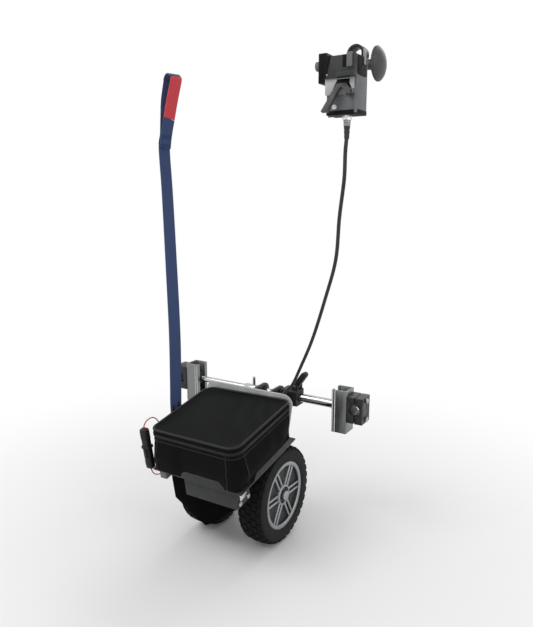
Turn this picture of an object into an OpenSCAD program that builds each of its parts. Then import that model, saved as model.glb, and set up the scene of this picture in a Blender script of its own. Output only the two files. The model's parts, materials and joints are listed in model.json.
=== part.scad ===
// Clip-on power drive for a manual wheelchair, drawn as fitted to the chair.
// Origin: middle of the left rail clamp's seat. +X to the right, +Y forwards, +Z up, millimetres.

/* [Rail clamps] */
// Diameter of the frame rail that each clamp grips
rail_d = 22; // [19:0.5:26]
// Distance between the axes of the two rails
rail_gap = 410; // [400:1:470]
// Length of a clamp along its rail
clamp_len = 36; // [24:1:50]
// Wall of a clamp half outside the rail
clamp_wall = 5; // [4:0.5:8]
// Slot between the two halves of a clamp
clamp_split = 2; // [1:0.5:4]
// Room for the bolt above and below the rail
clamp_ear = 14; // [13:1:20]
// Diameter of the clamp bolts
clamp_bolt_d = 6; // [5:0.5:7]

/* [Receivers] */
// Width of a receiver channel across the chair
receiver_w = 30; // [26:1:36]
// Depth of a receiver channel along the chair
receiver_d = 34; // [30:1:44]
// Sheet thickness of a receiver channel
receiver_wall = 3; // [2:0.5:4]
// Height of a receiver above the bar axis
receiver_up = 34; // [30:1:60]
// Depth of a receiver below the bar axis
receiver_down = 49; // [36:1:70]

/* [Cross bar] */
// Height of the bar axis above the floor
bar_h = 244; // [240:1:256]
// Diameter of the bar's rod
rod_d = 12; // [10:0.5:13]
// Diameter of the bar's tube and of its stop sleeve
tube_d = 17; // [16:0.5:19]
// Length of rod inside the tube
rod_overlap = 70; // [55:1:80]
// Length of the stop sleeve
sleeve_len = 40; // [25:1:60]
// Length of the bar clamp block along the bar
bar_clamp_len = 34; // [28:1:40]
// Depth and height of the bar clamp block
bar_clamp_d = 32; // [28:1:40]
// Length of the bar clamp's lever
bar_lever_len = 29; // [24:1:55]

/* [Drive unit] */
// Distance from the left rail to the middle of the drive unit
unit_x = 227; // [210:1:235]
// Distance of the axle behind the bar
axle_back = 108; // [106:1:125]
// Nose-up pitch of the tray in degrees
pitch = 10.5; // [8:0.5:12]
// Outer diameter of the tyres
wheel_d = 182; // [176:1:188]
// Width over both tyres
wheel_track = 182; // [180:1:190]
// Width of a tyre
tyre_w = 50; // [44:1:50]
// Height of the tyre from the rim to the tread
tyre_h = 28; // [26:0.5:36]
// Width of the rim's face ring
rim_ring = 8; // [5:0.5:12]
// Diameter of the axle
axle_d = 12; // [10:0.5:14]
// Diameter of the axle bearings
bearing_d = 28; // [24:1:32]
// Thickness of the plates that carry the axle
axle_plate_t = 4; // [3:0.5:4.5]

/* [Tray and front plate] */
// Sheet thickness of the tray
tray_t = 2.5; // [2:0.5:3]
// Width of the tray, where the bag needs no more
tray_w = 188; // [184:1:196]
// Height of the tray's side rails above its floor
tray_rail_h = 10.5; // [6:0.5:16]
// Width of the bag stop at the tray's rear
stop_w = 90; // [60:1:100]
// Height of the bag stop above the tray's floor
stop_h = 13; // [8:0.5:20]
// Width of the front plate
front_w = 190; // [180:1:200]
// Thickness of the front plate
front_t = 3; // [2:0.5:4]
// Height of the front plate above the bag
front_up = 9; // [4:1:16]
// Radius of the front plate's top corners
front_r = 18; // [6:1:30]
// Width of the front plate at its foot
front_foot = 158; // [140:1:180]

/* [Bag and battery] */
// Width of the bag, where the battery needs no more
bag_w = 178; // [166:1:180]
// Length of the bag, where the battery needs no more
bag_l = 171; // [160:1:174]
// Height of the bag with its lid, where the battery needs no more
bag_h = 80; // [74:1:84]
// Thickness of the lid
lid_t = 12; // [5:0.5:14]
// Wall of the bag
bag_wall = 3; // [2:0.5:4]
// Radius of the bag's upright corners
bag_r = 14; // [10:1:30]
// Width of the battery pack
battery_w = 150; // [120:1:156]
// Length of the battery pack
battery_l = 140; // [110:1:150]
// Height of the battery pack
battery_h = 58; // [40:1:62]

/* [Gearbox and motor] */
// Tooth module of the gear pair on the axle
axle_module = 1.5; // [1.5:0.05:1.55]
// Tooth module of the gear pair on the motor
motor_module = 1; // [1:0.05:1.05]
// Teeth of both pinions
pinion_teeth = 17; // [17:1:18]
// Teeth of the axle gear
axle_teeth = 51; // [48:1:52]
// Teeth of the layshaft gear
lay_teeth = 68; // [64:1:70]
// Face width of the axle gear pair
axle_face = 9; // [8:0.5:9]
// Face width of the motor gear pair
motor_face = 8; // [7:0.5:8]
// Diameter of the motor
motor_d = 56; // [50:1:60]
// Length of the motor
motor_l = 36; // [32:1:38]

/* [Controller box and skirt] */
// Width of the controller box
box_w = 107; // [90:1:110]
// Height of the controller box
box_h = 32; // [24:1:36]
// Thickness of the skirt
skirt_t = 3; // [2:0.5:4]

/* [Hand control] */
// Diameter of the push handle that the control clamps to
handle_d = 22; // [19:0.5:26]
// Distance of the push handle from the left rail
handle_x = 404; // [396:1:440]
// Height of the push handle above the bar
handle_z = 617; // [600:1:640]
// Length of the handle clamp
handle_clamp_len = 24; // [18:1:30]
// Width of the control housing
control_w = 50; // [46:1:60]
// Depth of the control housing
control_d = 37; // [34:1:44]
// Height of the control housing
control_h = 80; // [76:1:90]
// Length of the throttle lever
throttle_len = 45; // [40:1:48]
// Width of the throttle lever
throttle_w = 47; // [40:1:47]
// Diameter of the clamp knob
knob_d = 54; // [44:1:54]
// Diameter of the dial
dial_d = 14; // [12:1:20]
// Diameter of the control cable
cable_d = 6; // [5:0.5:7]
// Width of the strap
strap_w = 25; // [20:1:38]
// Thickness of the strap
strap_t = 2; // [1.5:0.1:2]

/* [Hidden] */
$fn = 48;

// Overrun of every cut
cut = 1;
// Gap between pieces that lie beside each other
gap = 0.3;
// Radial clearance of a turning shaft
run_fit = 0.05;

// Pivot bracket
arm_t = 5;
bracket_x = -4.5;
bracket_w = 42;
bracket_flange_t = 3;
bracket_ear = 12;
bracket_flange_w = bracket_w + 2 * bracket_ear;
arm_mid = (bracket_w - arm_t) / 2;
arm_root = 60;
arm_eye = 32;
bush_d = 20;
bush_w = 8;
bracket_bolt_d = 6;
bracket_bolt_in = 7;

// Clamps, receivers and bar
bolt_gap = 0.3;
bolt_head_t = 4;
nut_share = 1.7;
clamp_bolt_z = rail_d / 2 + clamp_ear / 2;
clamp_out = rail_d / 2 + clamp_wall;
clamp_half_h = rail_d / 2 + clamp_ear;
bar_gap = 0.5;
slider_wall = 2.5;
slider_h = tube_d + 2 * slider_wall;
slider_x0 = clamp_out + receiver_wall + gap;
slider_x1 = clamp_out + receiver_w - receiver_wall - gap;
bar_seat = 18;
rod_fit = 0.1;
rod_x0 = slider_x1 - bar_seat;
pin_d = 6;
pin_up = 17;
bar_room = 8;
bar_clamp_x = unit_x + bracket_x + arm_mid + bush_w / 2 + bar_room;
sleeve_x1 = unit_x + bracket_x - arm_mid - bush_w / 2 - gap;
sleeve_x0 = sleeve_x1 - sleeve_len;
bar_clamp_wall = bar_clamp_d / 2;
tube_x0 = bar_clamp_x + bar_clamp_len / 4;
tube_x1 = rail_gap - rod_x0;
rod_x1 = tube_x0 + rod_overlap;
lever_hub_d = 14;
lever_pin_d = 5;
lever_w = 12;
lever_t = 11;
lever_ear_t = 4;
lever_lean = 55;
lever_x = bar_clamp_x + bar_clamp_len - lever_hub_d / 2;
lever_z = bar_clamp_wall + lever_hub_d / 2 + bar_gap;

// Drive unit frame: origin on the axle in the middle of the unit, pitched with the tray
rise = bar_h - wheel_d / 2;
bar_y = axle_back * cos(pitch) + rise * sin(pitch);
bar_z = rise * cos(pitch) - axle_back * sin(pitch);

// Gear train
pressure = 20;
addendum_share = 0.95;
dedendum_share = 1.25;
backlash = 0.2;
gear_gap = 0.5;
case_wall = 3;
case_room = 2;
lay_angle = 50;
motor_angle = -35;
lay_far = axle_module * (pinion_teeth + axle_teeth) / 2;
lay_y = lay_far * cos(lay_angle);
lay_z = lay_far * sin(lay_angle);
motor_far = motor_module * (pinion_teeth + lay_teeth) / 2;
motor_y = lay_y + motor_far * cos(motor_angle);
motor_z = lay_z + motor_far * sin(motor_angle);
case_top = lay_z + motor_module * (lay_teeth / 2 + 1) + case_room + case_wall;

// Bag and tray: the tray clears the tyres and the gearbox, the bag is never smaller than its battery needs,
// and the tray never narrower than the bag
tyre_clear = 2;
tray_z = max(wheel_d / 2, case_top) + tyre_clear;
floor_z = tray_z + tray_t;
rail_top = floor_z + tray_rail_h;
battery_room = 2;
bag_room = 2;
terminal_d = 8;
terminal_h = 3;
bag_width = max(bag_w, battery_w + 2 * (bag_wall + battery_room));
bag_len = max(bag_l, battery_l + 2 * (bag_wall + battery_room));
bag_tall = max(bag_h, bag_wall + battery_h + terminal_h + battery_room + lid_t);
bag_side = bag_width / 2;
tray_side = max(tray_w / 2, bag_side + bag_room + tray_t);
lid_round = 3;
front_gap = 4;
rear_gap = 5;
bag_front = 40;
bag_back = bag_front - bag_len;
bag_z = floor_z + gap;
bag_top = bag_z + bag_tall;
lid_z = bag_top - lid_t;
front_y = bag_front + front_gap;
tray_front = front_y + front_t;
rail_short = 14;
rail_front = front_y - rail_short;
tray_back = bag_back - rear_gap;
front_top = bag_top + front_up;
bracket_up = 35.3;
bracket_z = floor_z + bracket_up;
stop_left = 30;
stop_notch = 10;
skirt_clear = 2.5;
skirt_y = -wheel_d / 2 - skirt_clear;
skirt_back = skirt_y - skirt_t;
plate_gap = 3;
plate_in = wheel_track / 2 - tyre_w - plate_gap - axle_plate_t;
plate_foot = 60;
plate_eye = 44;
bearing_out = 2;
bearing_w = axle_plate_t + bearing_out;
hub_d = 34;
hub_sink = 7;
hub_gap = 0.5;
hub_out = wheel_track / 2 - hub_sink;
hub_in = wheel_track / 2 - tyre_w + hub_gap;
nut_t = 8;

// Wheel details
tyre_round = 8;
tread_groove_w = 3;
tread_groove_t = 4;
tread_groove_share = 0.2;
rim_d = wheel_d - 2 * tyre_h;
rim_w = 44;
rim_in = 3;
rim_relief = 6;
spoke_pairs = 5;
spoke_w = 4;
spoke_apart = 11;
rim_x = wheel_track / 2 - rim_in;

// Places along the axle
cover_x = -plate_in;
pair2_x = cover_x + case_wall + gear_gap;
pair1_x = pair2_x + axle_face + 2 * gear_gap;
wall_x = pair1_x + motor_face + gear_gap;
motor_x = wall_x + case_wall;
lay_pin_d = 6;
lay_shaft_d = 12;
motor_shaft_d = 6;
motor_wall = 3;
core_gap = 3;

// Controller box and skirt
box_wall = 2;
box_x = -25;
screw_d = 8;
screw_t = 3;
board_t = 1.6;
board_gap = 6;
skirt_left_share = 0.98;
skirt_side_share = 0.08;
skirt_tip_shares = [-0.33, -0.4];
skirt_right_shares = [[-0.14, -0.29], [0.09, -0.11], [0.33, 0.12], [0.46, 0.2]];

// Battery connector: leads from the plug to the bag's side and from the socket to the tray's clip
plug_w = 14;
plug_d = 12;
plug_len = 39;
plug_up = 7;
plug_out = 3;
plug_at = [-tray_side - plug_out - plug_w / 2, bag_back, lid_z + plug_up];
socket_end = plug_at - [0, 0, 2 * plug_len];
lead_d = 2;
clip_w = 14;
clip_l = 14;
clip_h = 13;
clip_in = 14;
clip_x = clip_in - tray_side;
clip_y = tray_back + gap;
clip_mid = [clip_x - gap, clip_y + clip_l / 2, tray_z - clip_h / 2];
lead_in = 34;
lead_rise = 11;
lead_drop = 18;
lead_end = [-bag_side - lead_d / 2 - gap, bag_back + lead_in, plug_at[2] - lead_drop];
lead_high_shares = [[0, 0.06, 0.57], [0, 0.3, 1], [0, 0.65, 0.95], [0.07, 0.88, 0.48],
                    [0.29, 0.97, -0.19], [0.66, 1, -0.71]];
lead_high = concat([plug_at],
                   [for (s = lead_high_shares)
                       plug_at + [s[0] * (lead_end[0] - plug_at[0]), s[1] * lead_in, s[2] * lead_rise]],
                   [lead_end]);
lead_low_shares = [[0, -0.08, 0.49], [0.1, -0.12, 0.97], [0.34, 0.14, 1.24], [0.63, 0.66, 1.2],
                   [0.83, 0.92, 1.07]];
lead_low = concat([socket_end], [for (s = lead_low_shares) between(socket_end, clip_mid, s)], [clip_mid]);

// Hand control
handle_y = -30;
handle_wall = 4;
ear_w = 18;
ear_split = 3;
ear_h = 14;
ear_screw = 2;
screw_far = handle_d / 2 + handle_wall + ear_screw;
control_side = 4;
control_drop = 27;
control_behind = 127;
control_x = handle_x + control_side;
control_y = handle_y - control_behind;
control_z = handle_z - control_drop;
control_wall = 2.5;
recess_top = 31;
recess_h = 23;
recess_t = 13;
recess_left = 3;
recess_right = 6;
shell_t = 18;
panel_t = 4;
visor_w = 28;
visor_t = 8;
visor_h = 11;
back_t = 3;
arm_w = 7;
arm_h = 16;
arm_x = handle_x - ear_w / 2;
arm_top = handle_z - handle_d / 2 - handle_wall - ear_h;
pivot_in = 4;
pivot_down = 5;
pivot_y = control_y + pivot_in;
pivot_z = control_z - recess_top - pivot_down;
throttle_tilt = 20;
throttle_t = 6;
throttle_hub_d = 9;
throttle_pin_d = 4;
throttle_shares = [[0, 0], [0.4, 0.94], [0.47, 1], [0.62, 1], [0.7, 0.95], [0.9, 0.7], [0.9, 0.54],
                   [0.74, 0.56], [0.6, 0.79], [0.54, 0.8], [0.47, 0.72], [0.23, 0]];
throttle_x = 29;
dial_t = 8;
dial_spindle_d = 5;
dial_spindle_len = 6;
dial_in = 13;
dial_down = 9;
cheek_t = 13;
cheek_in = 3;
cheek_d = 22;
cheek_up = 7;
cheek_down = 35;
box_step = 6;
plate_t = 3;
button_d = 7;
button_out = 2.5;
button_len = 6;
button_travel = 1.5;
button_right = 13;
button_up = 10;
connector_x = 29;
connector_y = 17;
connector_d = 15;
connector_t = 9;
relief_d = 11;
relief_t = 8;
knob_neck_d = 9;
knob_hub_d = 16;
knob_hub_len = 13;
knob_t = 19;
knob_screw_d = 6;

// Control cable: from the connector to the gland on the front plate
gland_d = 14;
gland_len = 16;
gland_x = 40;
gland_up = 54.5;
gland_z = floor_z + gland_up;
gland_mouth = [gland_x, tray_front + gland_len, gland_z];
cable_drop = 15;
cable_top = [control_x + connector_x, control_y + connector_y,
             control_z - control_h - connector_t - relief_t];
cable_shares = [[0.01, 0, 0.08], [0.02, 0.03, 0.16], [0.08, 0.15, 0.28], [0.15, 0.38, 0.42],
                [0.3, 0.63, 0.56], [0.49, 0.9, 0.72], [0.68, 1.11, 0.85], [0.8, 1.29, 0.92]];
cable_bend = 29;
cable_bend_shares = [[0.62, 1, 0.55], [0.24, 0.82, 0.2], [0.03, 0.44, 0.04]];
cable_points = concat(
    [cable_top, cable_top - [0, 0, cable_drop]],
    [for (s = cable_shares) between(cable_top, unit_at(gland_mouth), s)],
    [for (s = cable_bend_shares) unit_at(gland_mouth + s * cable_bend)],
    [unit_at(gland_mouth), unit_at(gland_mouth - [0, gland_len / 2, 0])]);
cable_side = [0.6, 0.6, -0.5];

// Strap: loop over the left handle, then down to the tray's left rail
loop_front = 5;
loop_up = -3;
loop_at = [rail_gap - handle_x, handle_y + loop_front, handle_z + loop_up];
loop_r = 13;
strap_turn = 17.5;
strap_side = [sin(strap_turn), cos(strap_turn), 0];
strap_face = [-cos(strap_turn), sin(strap_turn), 0];
strap_apart = 1.6;
loop_back = 15;
loop_down = 73;
loop_low = [0, -loop_back, -loop_down];
loop_wide = 15;
loop_open = 10;
seam_side = 3;
seam_back = 21;
seam_down = 104;
seam_at = [-seam_side, -seam_back, -seam_down];
seam_end_side = 5;
seam_end_back = 24;
seam_end_down = 130;
seam_end = [-seam_end_side, -seam_end_back, -seam_end_down];
strap_y = -58;
strap_room = 1;
strap_side_low = [0, cos(pitch), sin(pitch)];
hold_share = 0.17;
twist_share = 0.4;
strap_foot = [for (z = [tray_z, floor_z + tray_rail_h / 2, rail_top + strap_t, rail_top + tray_rail_h])
    unit_at([-tray_side - strap_room - strap_t / 2, strap_y, z])];
strap_shares = [[0.02, 0.01, 0.04], [0.1, 0.08, 0.1], [0.19, 0.19, 0.18], [0.38, 0.41, 0.35],
                [0.7, 0.73, 0.62], [0.93, 0.95, 0.84]];
strap_low = concat(strap_foot, [for (s = strap_shares) between(strap_foot[3], loop_at + seam_end, s)]);
keeper_t = 2;
keeper_h = 6;
blue_angle = 145;
red_angle = 163;
loop_steps = 5;

function unit(v) = v / norm(v);
// A place between two others, with its own share along each axis
function between(a, b, s) = [for (k = [0:2]) a[k] + s[k] * (b[k] - a[k])];
// A place in the drive unit's frame, given in the row's frame
function unit_at(p) = [unit_x + p[0], p[1] * cos(pitch) - p[2] * sin(pitch) - axle_back,
                       p[1] * sin(pitch) + p[2] * cos(pitch) + wheel_d / 2 - bar_h];
function mix(a, b, c, d, t) = (2 * b + (c - a) * t + (2 * a - 5 * b + 4 * c - d) * t * t
    + (3 * b - a - 3 * c + d) * t * t * t) / 2;
function smooth(p, n) = concat(
    [for (i = [0:len(p) - 2], k = [0:n - 1])
        mix(p[max(i - 1, 0)], p[i], p[i + 1], p[min(i + 2, len(p) - 1)], k / n)],
    [p[len(p) - 1]]);
function heading(p, i) = unit(p[min(i + 1, len(p) - 1)] - p[max(i - 1, 0)]);
function tube_ring(c, t, side, d, sides) = let (u = unit(cross(t, side)), v = cross(t, u))
    [for (k = [0:sides - 1]) c + d / 2 * (u * cos(360 * k / sides) + v * sin(360 * k / sides))];
function band_ring(c, t, side, w, d) = let (n = unit(cross(t, side)), s = unit(cross(n, t)))
    [for (k = [[1, 1], [-1, 1], [-1, -1], [1, -1]]) c + s * k[0] * w / 2 + n * k[1] * d / 2];

// Closed solid through a list of rings, each ring with the same number of points
module skin(rings) {
    m = len(rings[0]);
    n = len(rings);
    points = [for (r = rings, p = r) p];
    walls = [for (i = [0:n - 2], k = [0:m - 1], half = [0, 1])
        let (a = i * m + k, b = i * m + (k + 1) % m)
            half == 0 ? [a, b, b + m] : [a, b + m, a + m]];
    caps = [for (k = [1:m - 2], e = [0, 1])
        e == 0 ? [0, k + 1, k] : [(n - 1) * m, (n - 1) * m + k, (n - 1) * m + k + 1]];
    polyhedron(points = points, faces = [for (f = concat(walls, caps)) [f[0], f[2], f[1]]]);
}
module cord(points, side, d, steps, sides = 8) {
    p = smooth(points, steps);
    skin([for (i = [0:len(p) - 1]) tube_ring(p[i], heading(p, i), side, d, sides)]);
}
// A flat band whose width turns from side_low to side over one stretch of its run
module band(points, side_low, side, w, d, steps) {
    p = smooth(points, steps);
    n = len(p) - 1;
    skin([for (i = [0:n]) let (turn = min(1, max(0, i / n - hold_share) / (twist_share - hold_share)))
        band_ring(p[i], heading(p, i), side_low * (1 - turn) + side * turn, w, d)]);
}

// Placing
module in_unit() {
    translate([unit_x, -axle_back, wheel_d / 2 - bar_h]) rotate([pitch, 0, 0]) children();
}
module on_right() {
    translate([rail_gap, 0, 0]) mirror([1, 0, 0]) children();
}
module rod_x(d, x0, x1, y = 0, z = 0, sides = 48) {
    translate([x0, y, z]) rotate([0, 90, 0]) cylinder(d = d, h = x1 - x0, $fn = sides);
}
module rod_y(d, y0, y1, x = 0, z = 0, sides = 48) {
    translate([x, y0, z]) rotate([-90, 0, 0]) cylinder(d = d, h = y1 - y0, $fn = sides);
}
// Extrudes a (Y, Z) outline along X
module slab_x(x0, x1) {
    translate([x0, 0, 0]) rotate([90, 0, 90]) linear_extrude(x1 - x0) children();
}
// Extrudes an (X, Z) outline along Y
module slab_y(y0, y1) {
    translate([0, y1, 0]) rotate([90, 0, 0]) linear_extrude(y1 - y0) children();
}
module block(low, high) {
    translate(low) cube(high - low);
}
module round_rect(low, high, r) {
    w = high[0] - low[0];
    h = high[1] - low[1];
    translate([low[0] + r, low[1]]) square([w - 2 * r, h]);
    translate([low[0], low[1] + r]) square([w, h - 2 * r]);
    for (x = [low[0] + r, high[0] - r], y = [low[1] + r, high[1] - r]) translate([x, y]) circle(r);
}

// Rail clamps and receivers, drawn for the left side
module clamp_bolt_holes(x0, x1) {
    for (s = [-1, 1]) rod_x(clamp_bolt_d + 2 * bolt_gap, x0, x1, 0, s * clamp_bolt_z);
}
module saddle_shape() {
    difference() {
        block([clamp_split / 2, -clamp_len / 2, -clamp_half_h], [clamp_out, clamp_len / 2, clamp_half_h]);
        rod_y(rail_d, -clamp_len / 2 - cut, clamp_len / 2 + cut);
        clamp_bolt_holes(-cut, clamp_out + cut);
    }
}
module cap_shape() {
    difference() {
        block([-clamp_out, -clamp_len / 2, -clamp_half_h],
              [-clamp_split / 2, clamp_len / 2, clamp_half_h]);
        rod_y(rail_d, -clamp_len / 2 - cut, clamp_len / 2 + cut);
        clamp_bolt_holes(-clamp_out - cut, cut);
    }
}
module bolts_shape() {
    inside = clamp_out + receiver_wall;
    for (s = [-1, 1]) {
        rod_x(clamp_bolt_d, -clamp_out - bolt_head_t, inside + bolt_head_t, 0, s * clamp_bolt_z);
        rod_x(clamp_bolt_d * nut_share, -clamp_out - bolt_head_t, -clamp_out, 0, s * clamp_bolt_z, 6);
        rod_x(clamp_bolt_d * nut_share, inside, inside + bolt_head_t, 0, s * clamp_bolt_z, 6);
    }
}
module receiver_shape() {
    slot = tube_d + 2 * bar_gap;
    inner_d = receiver_d - 2 * receiver_wall;
    difference() {
        block([clamp_out, -receiver_d / 2, -receiver_down],
              [clamp_out + receiver_w, receiver_d / 2, receiver_up]);
        block([clamp_out + receiver_wall, -inner_d / 2, -receiver_down + receiver_wall],
              [clamp_out + receiver_w - receiver_wall, inner_d / 2, receiver_up + cut]);
        block([clamp_out + receiver_wall, -slot / 2, -receiver_down + receiver_wall],
              [clamp_out + receiver_w + cut, slot / 2, receiver_up + cut]);
        clamp_bolt_holes(clamp_out - cut, clamp_out + receiver_wall + cut);
    }
}
module slider_shape(bar_d) {
    half_d = receiver_d / 2 - receiver_wall - gap;
    difference() {
        block([slider_x0, -half_d, -slider_h / 2], [slider_x1, half_d, slider_h / 2]);
        rod_x(bar_d, rod_x0, slider_x1 + cut);
    }
}
module left_receiver() {
    color("silver") receiver_shape();
}
module left_saddle() {
    color("#1c1c1c") saddle_shape();
}
module left_cap() {
    color("#1c1c1c") cap_shape();
}
module left_clamp_bolts() {
    color("gainsboro") bolts_shape();
}
module left_slider() {
    color("#2a2a2a") slider_shape(rod_d);
}
module right_receiver() {
    color("silver") on_right() receiver_shape();
}
module right_saddle() {
    color("#1c1c1c") on_right() saddle_shape();
}
module right_cap() {
    color("#1c1c1c") on_right() cap_shape();
}
module right_clamp_bolts() {
    color("gainsboro") on_right() bolts_shape();
}
module right_slider() {
    color("#2a2a2a") on_right() slider_shape(tube_d);
}

// Cross bar
module bar_rod() {
    color("gainsboro") rod_x(rod_d, rod_x0, rod_x1);
}
module stop_sleeve() {
    color("gainsboro") difference() {
        rod_x(tube_d, sleeve_x0, sleeve_x1);
        rod_x(rod_d, sleeve_x0 - cut, sleeve_x1 + cut);
        translate([(sleeve_x0 + sleeve_x1) / 2, 0, 0]) cylinder(d = pin_d, h = tube_d);
    }
}
module stop_pin() {
    color("silver") translate([(sleeve_x0 + sleeve_x1) / 2, 0, rod_d / 2]) {
        cylinder(d = pin_d, h = pin_up);
        translate([0, 0, pin_up]) sphere(d = pin_d);
    }
}
module bar_tube() {
    color("gainsboro") difference() {
        rod_x(tube_d, tube_x0, tube_x1);
        rod_x(rod_d + 2 * rod_fit, tube_x0 - cut, tube_x1 - bar_seat);
    }
}
module bar_clamp() {
    half = bar_clamp_d / 2;
    ear_low = lever_w / 2 + gap;
    color("#161616") difference() {
        union() {
            slab_x(bar_clamp_x, bar_clamp_x + bar_clamp_len)
                round_rect([-half, -half], [half, half], half / 4);
            for (y = [-ear_low - lever_ear_t, ear_low]) slab_y(y, y + lever_ear_t) {
                translate([lever_x, lever_z]) circle(d = lever_hub_d);
                translate([lever_x - lever_hub_d / 2, 0]) square([lever_hub_d, lever_z]);
            }
        }
        rod_x(tube_d, tube_x0, bar_clamp_x + bar_clamp_len + cut);
        rod_x(rod_d + 2 * bar_gap, bar_clamp_x - cut, tube_x0 + cut);
        rod_y(lever_pin_d, -bar_clamp_d, bar_clamp_d, lever_x, lever_z);
    }
}
module bar_lever_pin() {
    reach = lever_w / 2 + gap + lever_ear_t;
    color("silver") rod_y(lever_pin_d, -reach, reach, lever_x, lever_z);
}
module bar_lever() {
    color("#161616") difference() {
        slab_y(-lever_w / 2, lever_w / 2) translate([lever_x, lever_z]) {
            circle(d = lever_hub_d);
            rotate(lever_lean) {
                translate([0, -lever_t / 2]) square([bar_lever_len, lever_t]);
                translate([bar_lever_len, 0]) circle(d = lever_t);
            }
        }
        rod_y(lever_pin_d + 2 * run_fit, -lever_w, lever_w, lever_x, lever_z);
    }
}

// Tray, front plate and pivot
module tray() {
    color("#3d3f3e") in_unit() {
        block([-tray_side, tray_back, tray_z], [tray_side, tray_front, floor_z]);
        for (s = [0, 1]) mirror([s, 0, 0])
            slab_x(tray_side - tray_t, tray_side)
                polygon([[skirt_back, tray_z], [rail_front, tray_z], [rail_front, rail_top],
                         [skirt_back + tray_rail_h, rail_top], [skirt_back, floor_z]]);
        slab_y(tray_back, tray_back + tray_t)
            polygon([[-stop_left, tray_z], [stop_w - stop_left, tray_z],
                     [stop_w - stop_left, floor_z + stop_h - stop_notch],
                     [stop_w - stop_left - stop_notch, floor_z + stop_h],
                     [-stop_left, floor_z + stop_h]]);
        strap_keeper();
    }
}
// Bridge on the left rail that the strap's lower end passes through
module strap_keeper() {
    half = strap_w / 2 + gap;
    out = tray_side + 2 * strap_room + strap_t;
    mid = floor_z + tray_rail_h / 2;
    for (y = [strap_y - half - keeper_t, strap_y + half])
        block([-out - keeper_t, y, mid - keeper_h / 2],
              [-tray_side + tray_t / 2, y + keeper_t, mid + keeper_h / 2]);
    block([-out - keeper_t, strap_y - half - keeper_t, mid - keeper_h / 2],
          [-out, strap_y + half + keeper_t, mid + keeper_h / 2]);
}
module bracket_bolt_places() {
    for (x = [-1, 1], z = [-1, 1])
        translate([bracket_x + x * (bracket_flange_w / 2 - bracket_bolt_in), 0,
                   bracket_z + z * (arm_root / 2 - bracket_bolt_in)]) children();
}
// Round top corners, and sides that draw in towards the foot
module front_outline() {
    shoulder = front_top - front_r;
    foot = floor_z - 2 * front_r;
    difference() {
        round_rect([-front_w / 2, floor_z - front_r], [front_w / 2, front_top], front_r);
        translate([-front_w, foot]) square([2 * front_w, 2 * front_r]);
        for (s = [0, 1]) mirror([s, 0])
            polygon([[front_w / 2, shoulder], [front_w, shoulder], [front_w, foot],
                     [front_foot / 2, foot], [front_foot / 2, floor_z]]);
    }
}
module front_plate() {
    color("#b9bcbc") in_unit() difference() {
        slab_y(front_y, tray_front) front_outline();
        bracket_bolt_places() rod_y(bracket_bolt_d + 2 * bolt_gap, front_y - cut, tray_front + cut);
        rod_y(cable_d + 2 * gap, front_y - cut, tray_front + cut, gland_x, gland_z);
    }
}
module pivot_bracket() {
    arm_y = tray_front + bracket_flange_t;
    color("#8f9394") in_unit() difference() {
        union() {
            slab_y(tray_front, arm_y) translate([bracket_x, bracket_z])
                round_rect([-bracket_flange_w / 2, -arm_root / 2],
                           [bracket_flange_w / 2, arm_root / 2], arm_t);
            for (x = [bracket_x - arm_mid, bracket_x + arm_mid]) slab_x(x - arm_t / 2, x + arm_t / 2) hull() {
                translate([bar_y, bar_z]) circle(d = arm_eye, $fn = 32);
                translate([tray_front, bracket_z - arm_root / 2]) square([arm_t, arm_root]);
            }
        }
        rod_x(bush_d, -bracket_w, bracket_w, bar_y, bar_z);
        bracket_bolt_places() rod_y(bracket_bolt_d + 2 * bolt_gap, tray_front - cut, arm_y + cut);
    }
}
module pivot_bushes() {
    color("#1e1f1f") in_unit() for (s = [-1, 1]) {
        mid = bracket_x + s * arm_mid;
        difference() {
            rod_x(bush_d, mid - bush_w / 2, mid + bush_w / 2, bar_y, bar_z);
            rod_x(rod_d + 2 * run_fit, mid - bush_w, mid + bush_w, bar_y, bar_z);
        }
    }
}
module frame_bolts() {
    front = tray_front + bracket_flange_t;
    color("gainsboro") in_unit() {
        bracket_bolt_places() {
            rod_y(bracket_bolt_d, front_y - bolt_head_t, front + bolt_head_t);
            rod_y(bracket_bolt_d * nut_share, front, front + bolt_head_t, 0, 0, 6);
            rod_y(bracket_bolt_d * nut_share, front_y - bolt_head_t, front_y, 0, 0, 6);
        }
        for (y = [tray_back + screw_d, skirt_back - screw_d])
            rod_x(screw_d, box_x + box_w, box_x + box_w + screw_t, y, tray_z - box_h + screw_d);
    }
}

// Bag, battery and controller
module bag_outline(inset) {
    round_rect([-bag_side + inset, bag_back + inset], [bag_side - inset, bag_front - inset],
               bag_r - inset);
}
module bag_body() {
    color("#1a1a19") in_unit() difference() {
        translate([0, 0, bag_z]) linear_extrude(lid_z - gap - bag_z) bag_outline(0);
        translate([0, 0, bag_z + bag_wall]) linear_extrude(bag_tall) bag_outline(bag_wall);
    }
}
module bag_lid() {
    color("#242625") in_unit() translate([0, 0, lid_z]) {
        linear_extrude(lid_t - lid_round) bag_outline(0);
        translate([0, 0, lid_t - lid_round]) linear_extrude(lid_round) bag_outline(lid_round);
    }
}
module battery_pack() {
    mid = (bag_front + bag_back) / 2;
    low = bag_z + bag_wall;
    color("#35383b") in_unit() {
        translate([0, 0, low]) linear_extrude(battery_h)
            round_rect([-battery_w / 2, mid - battery_l / 2], [battery_w / 2, mid + battery_l / 2],
                       bag_wall);
        for (s = [-1, 1]) translate([s * battery_w / 4, mid - battery_l / 4, low + battery_h])
            cylinder(d = terminal_d, h = terminal_h);
    }
}
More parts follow.
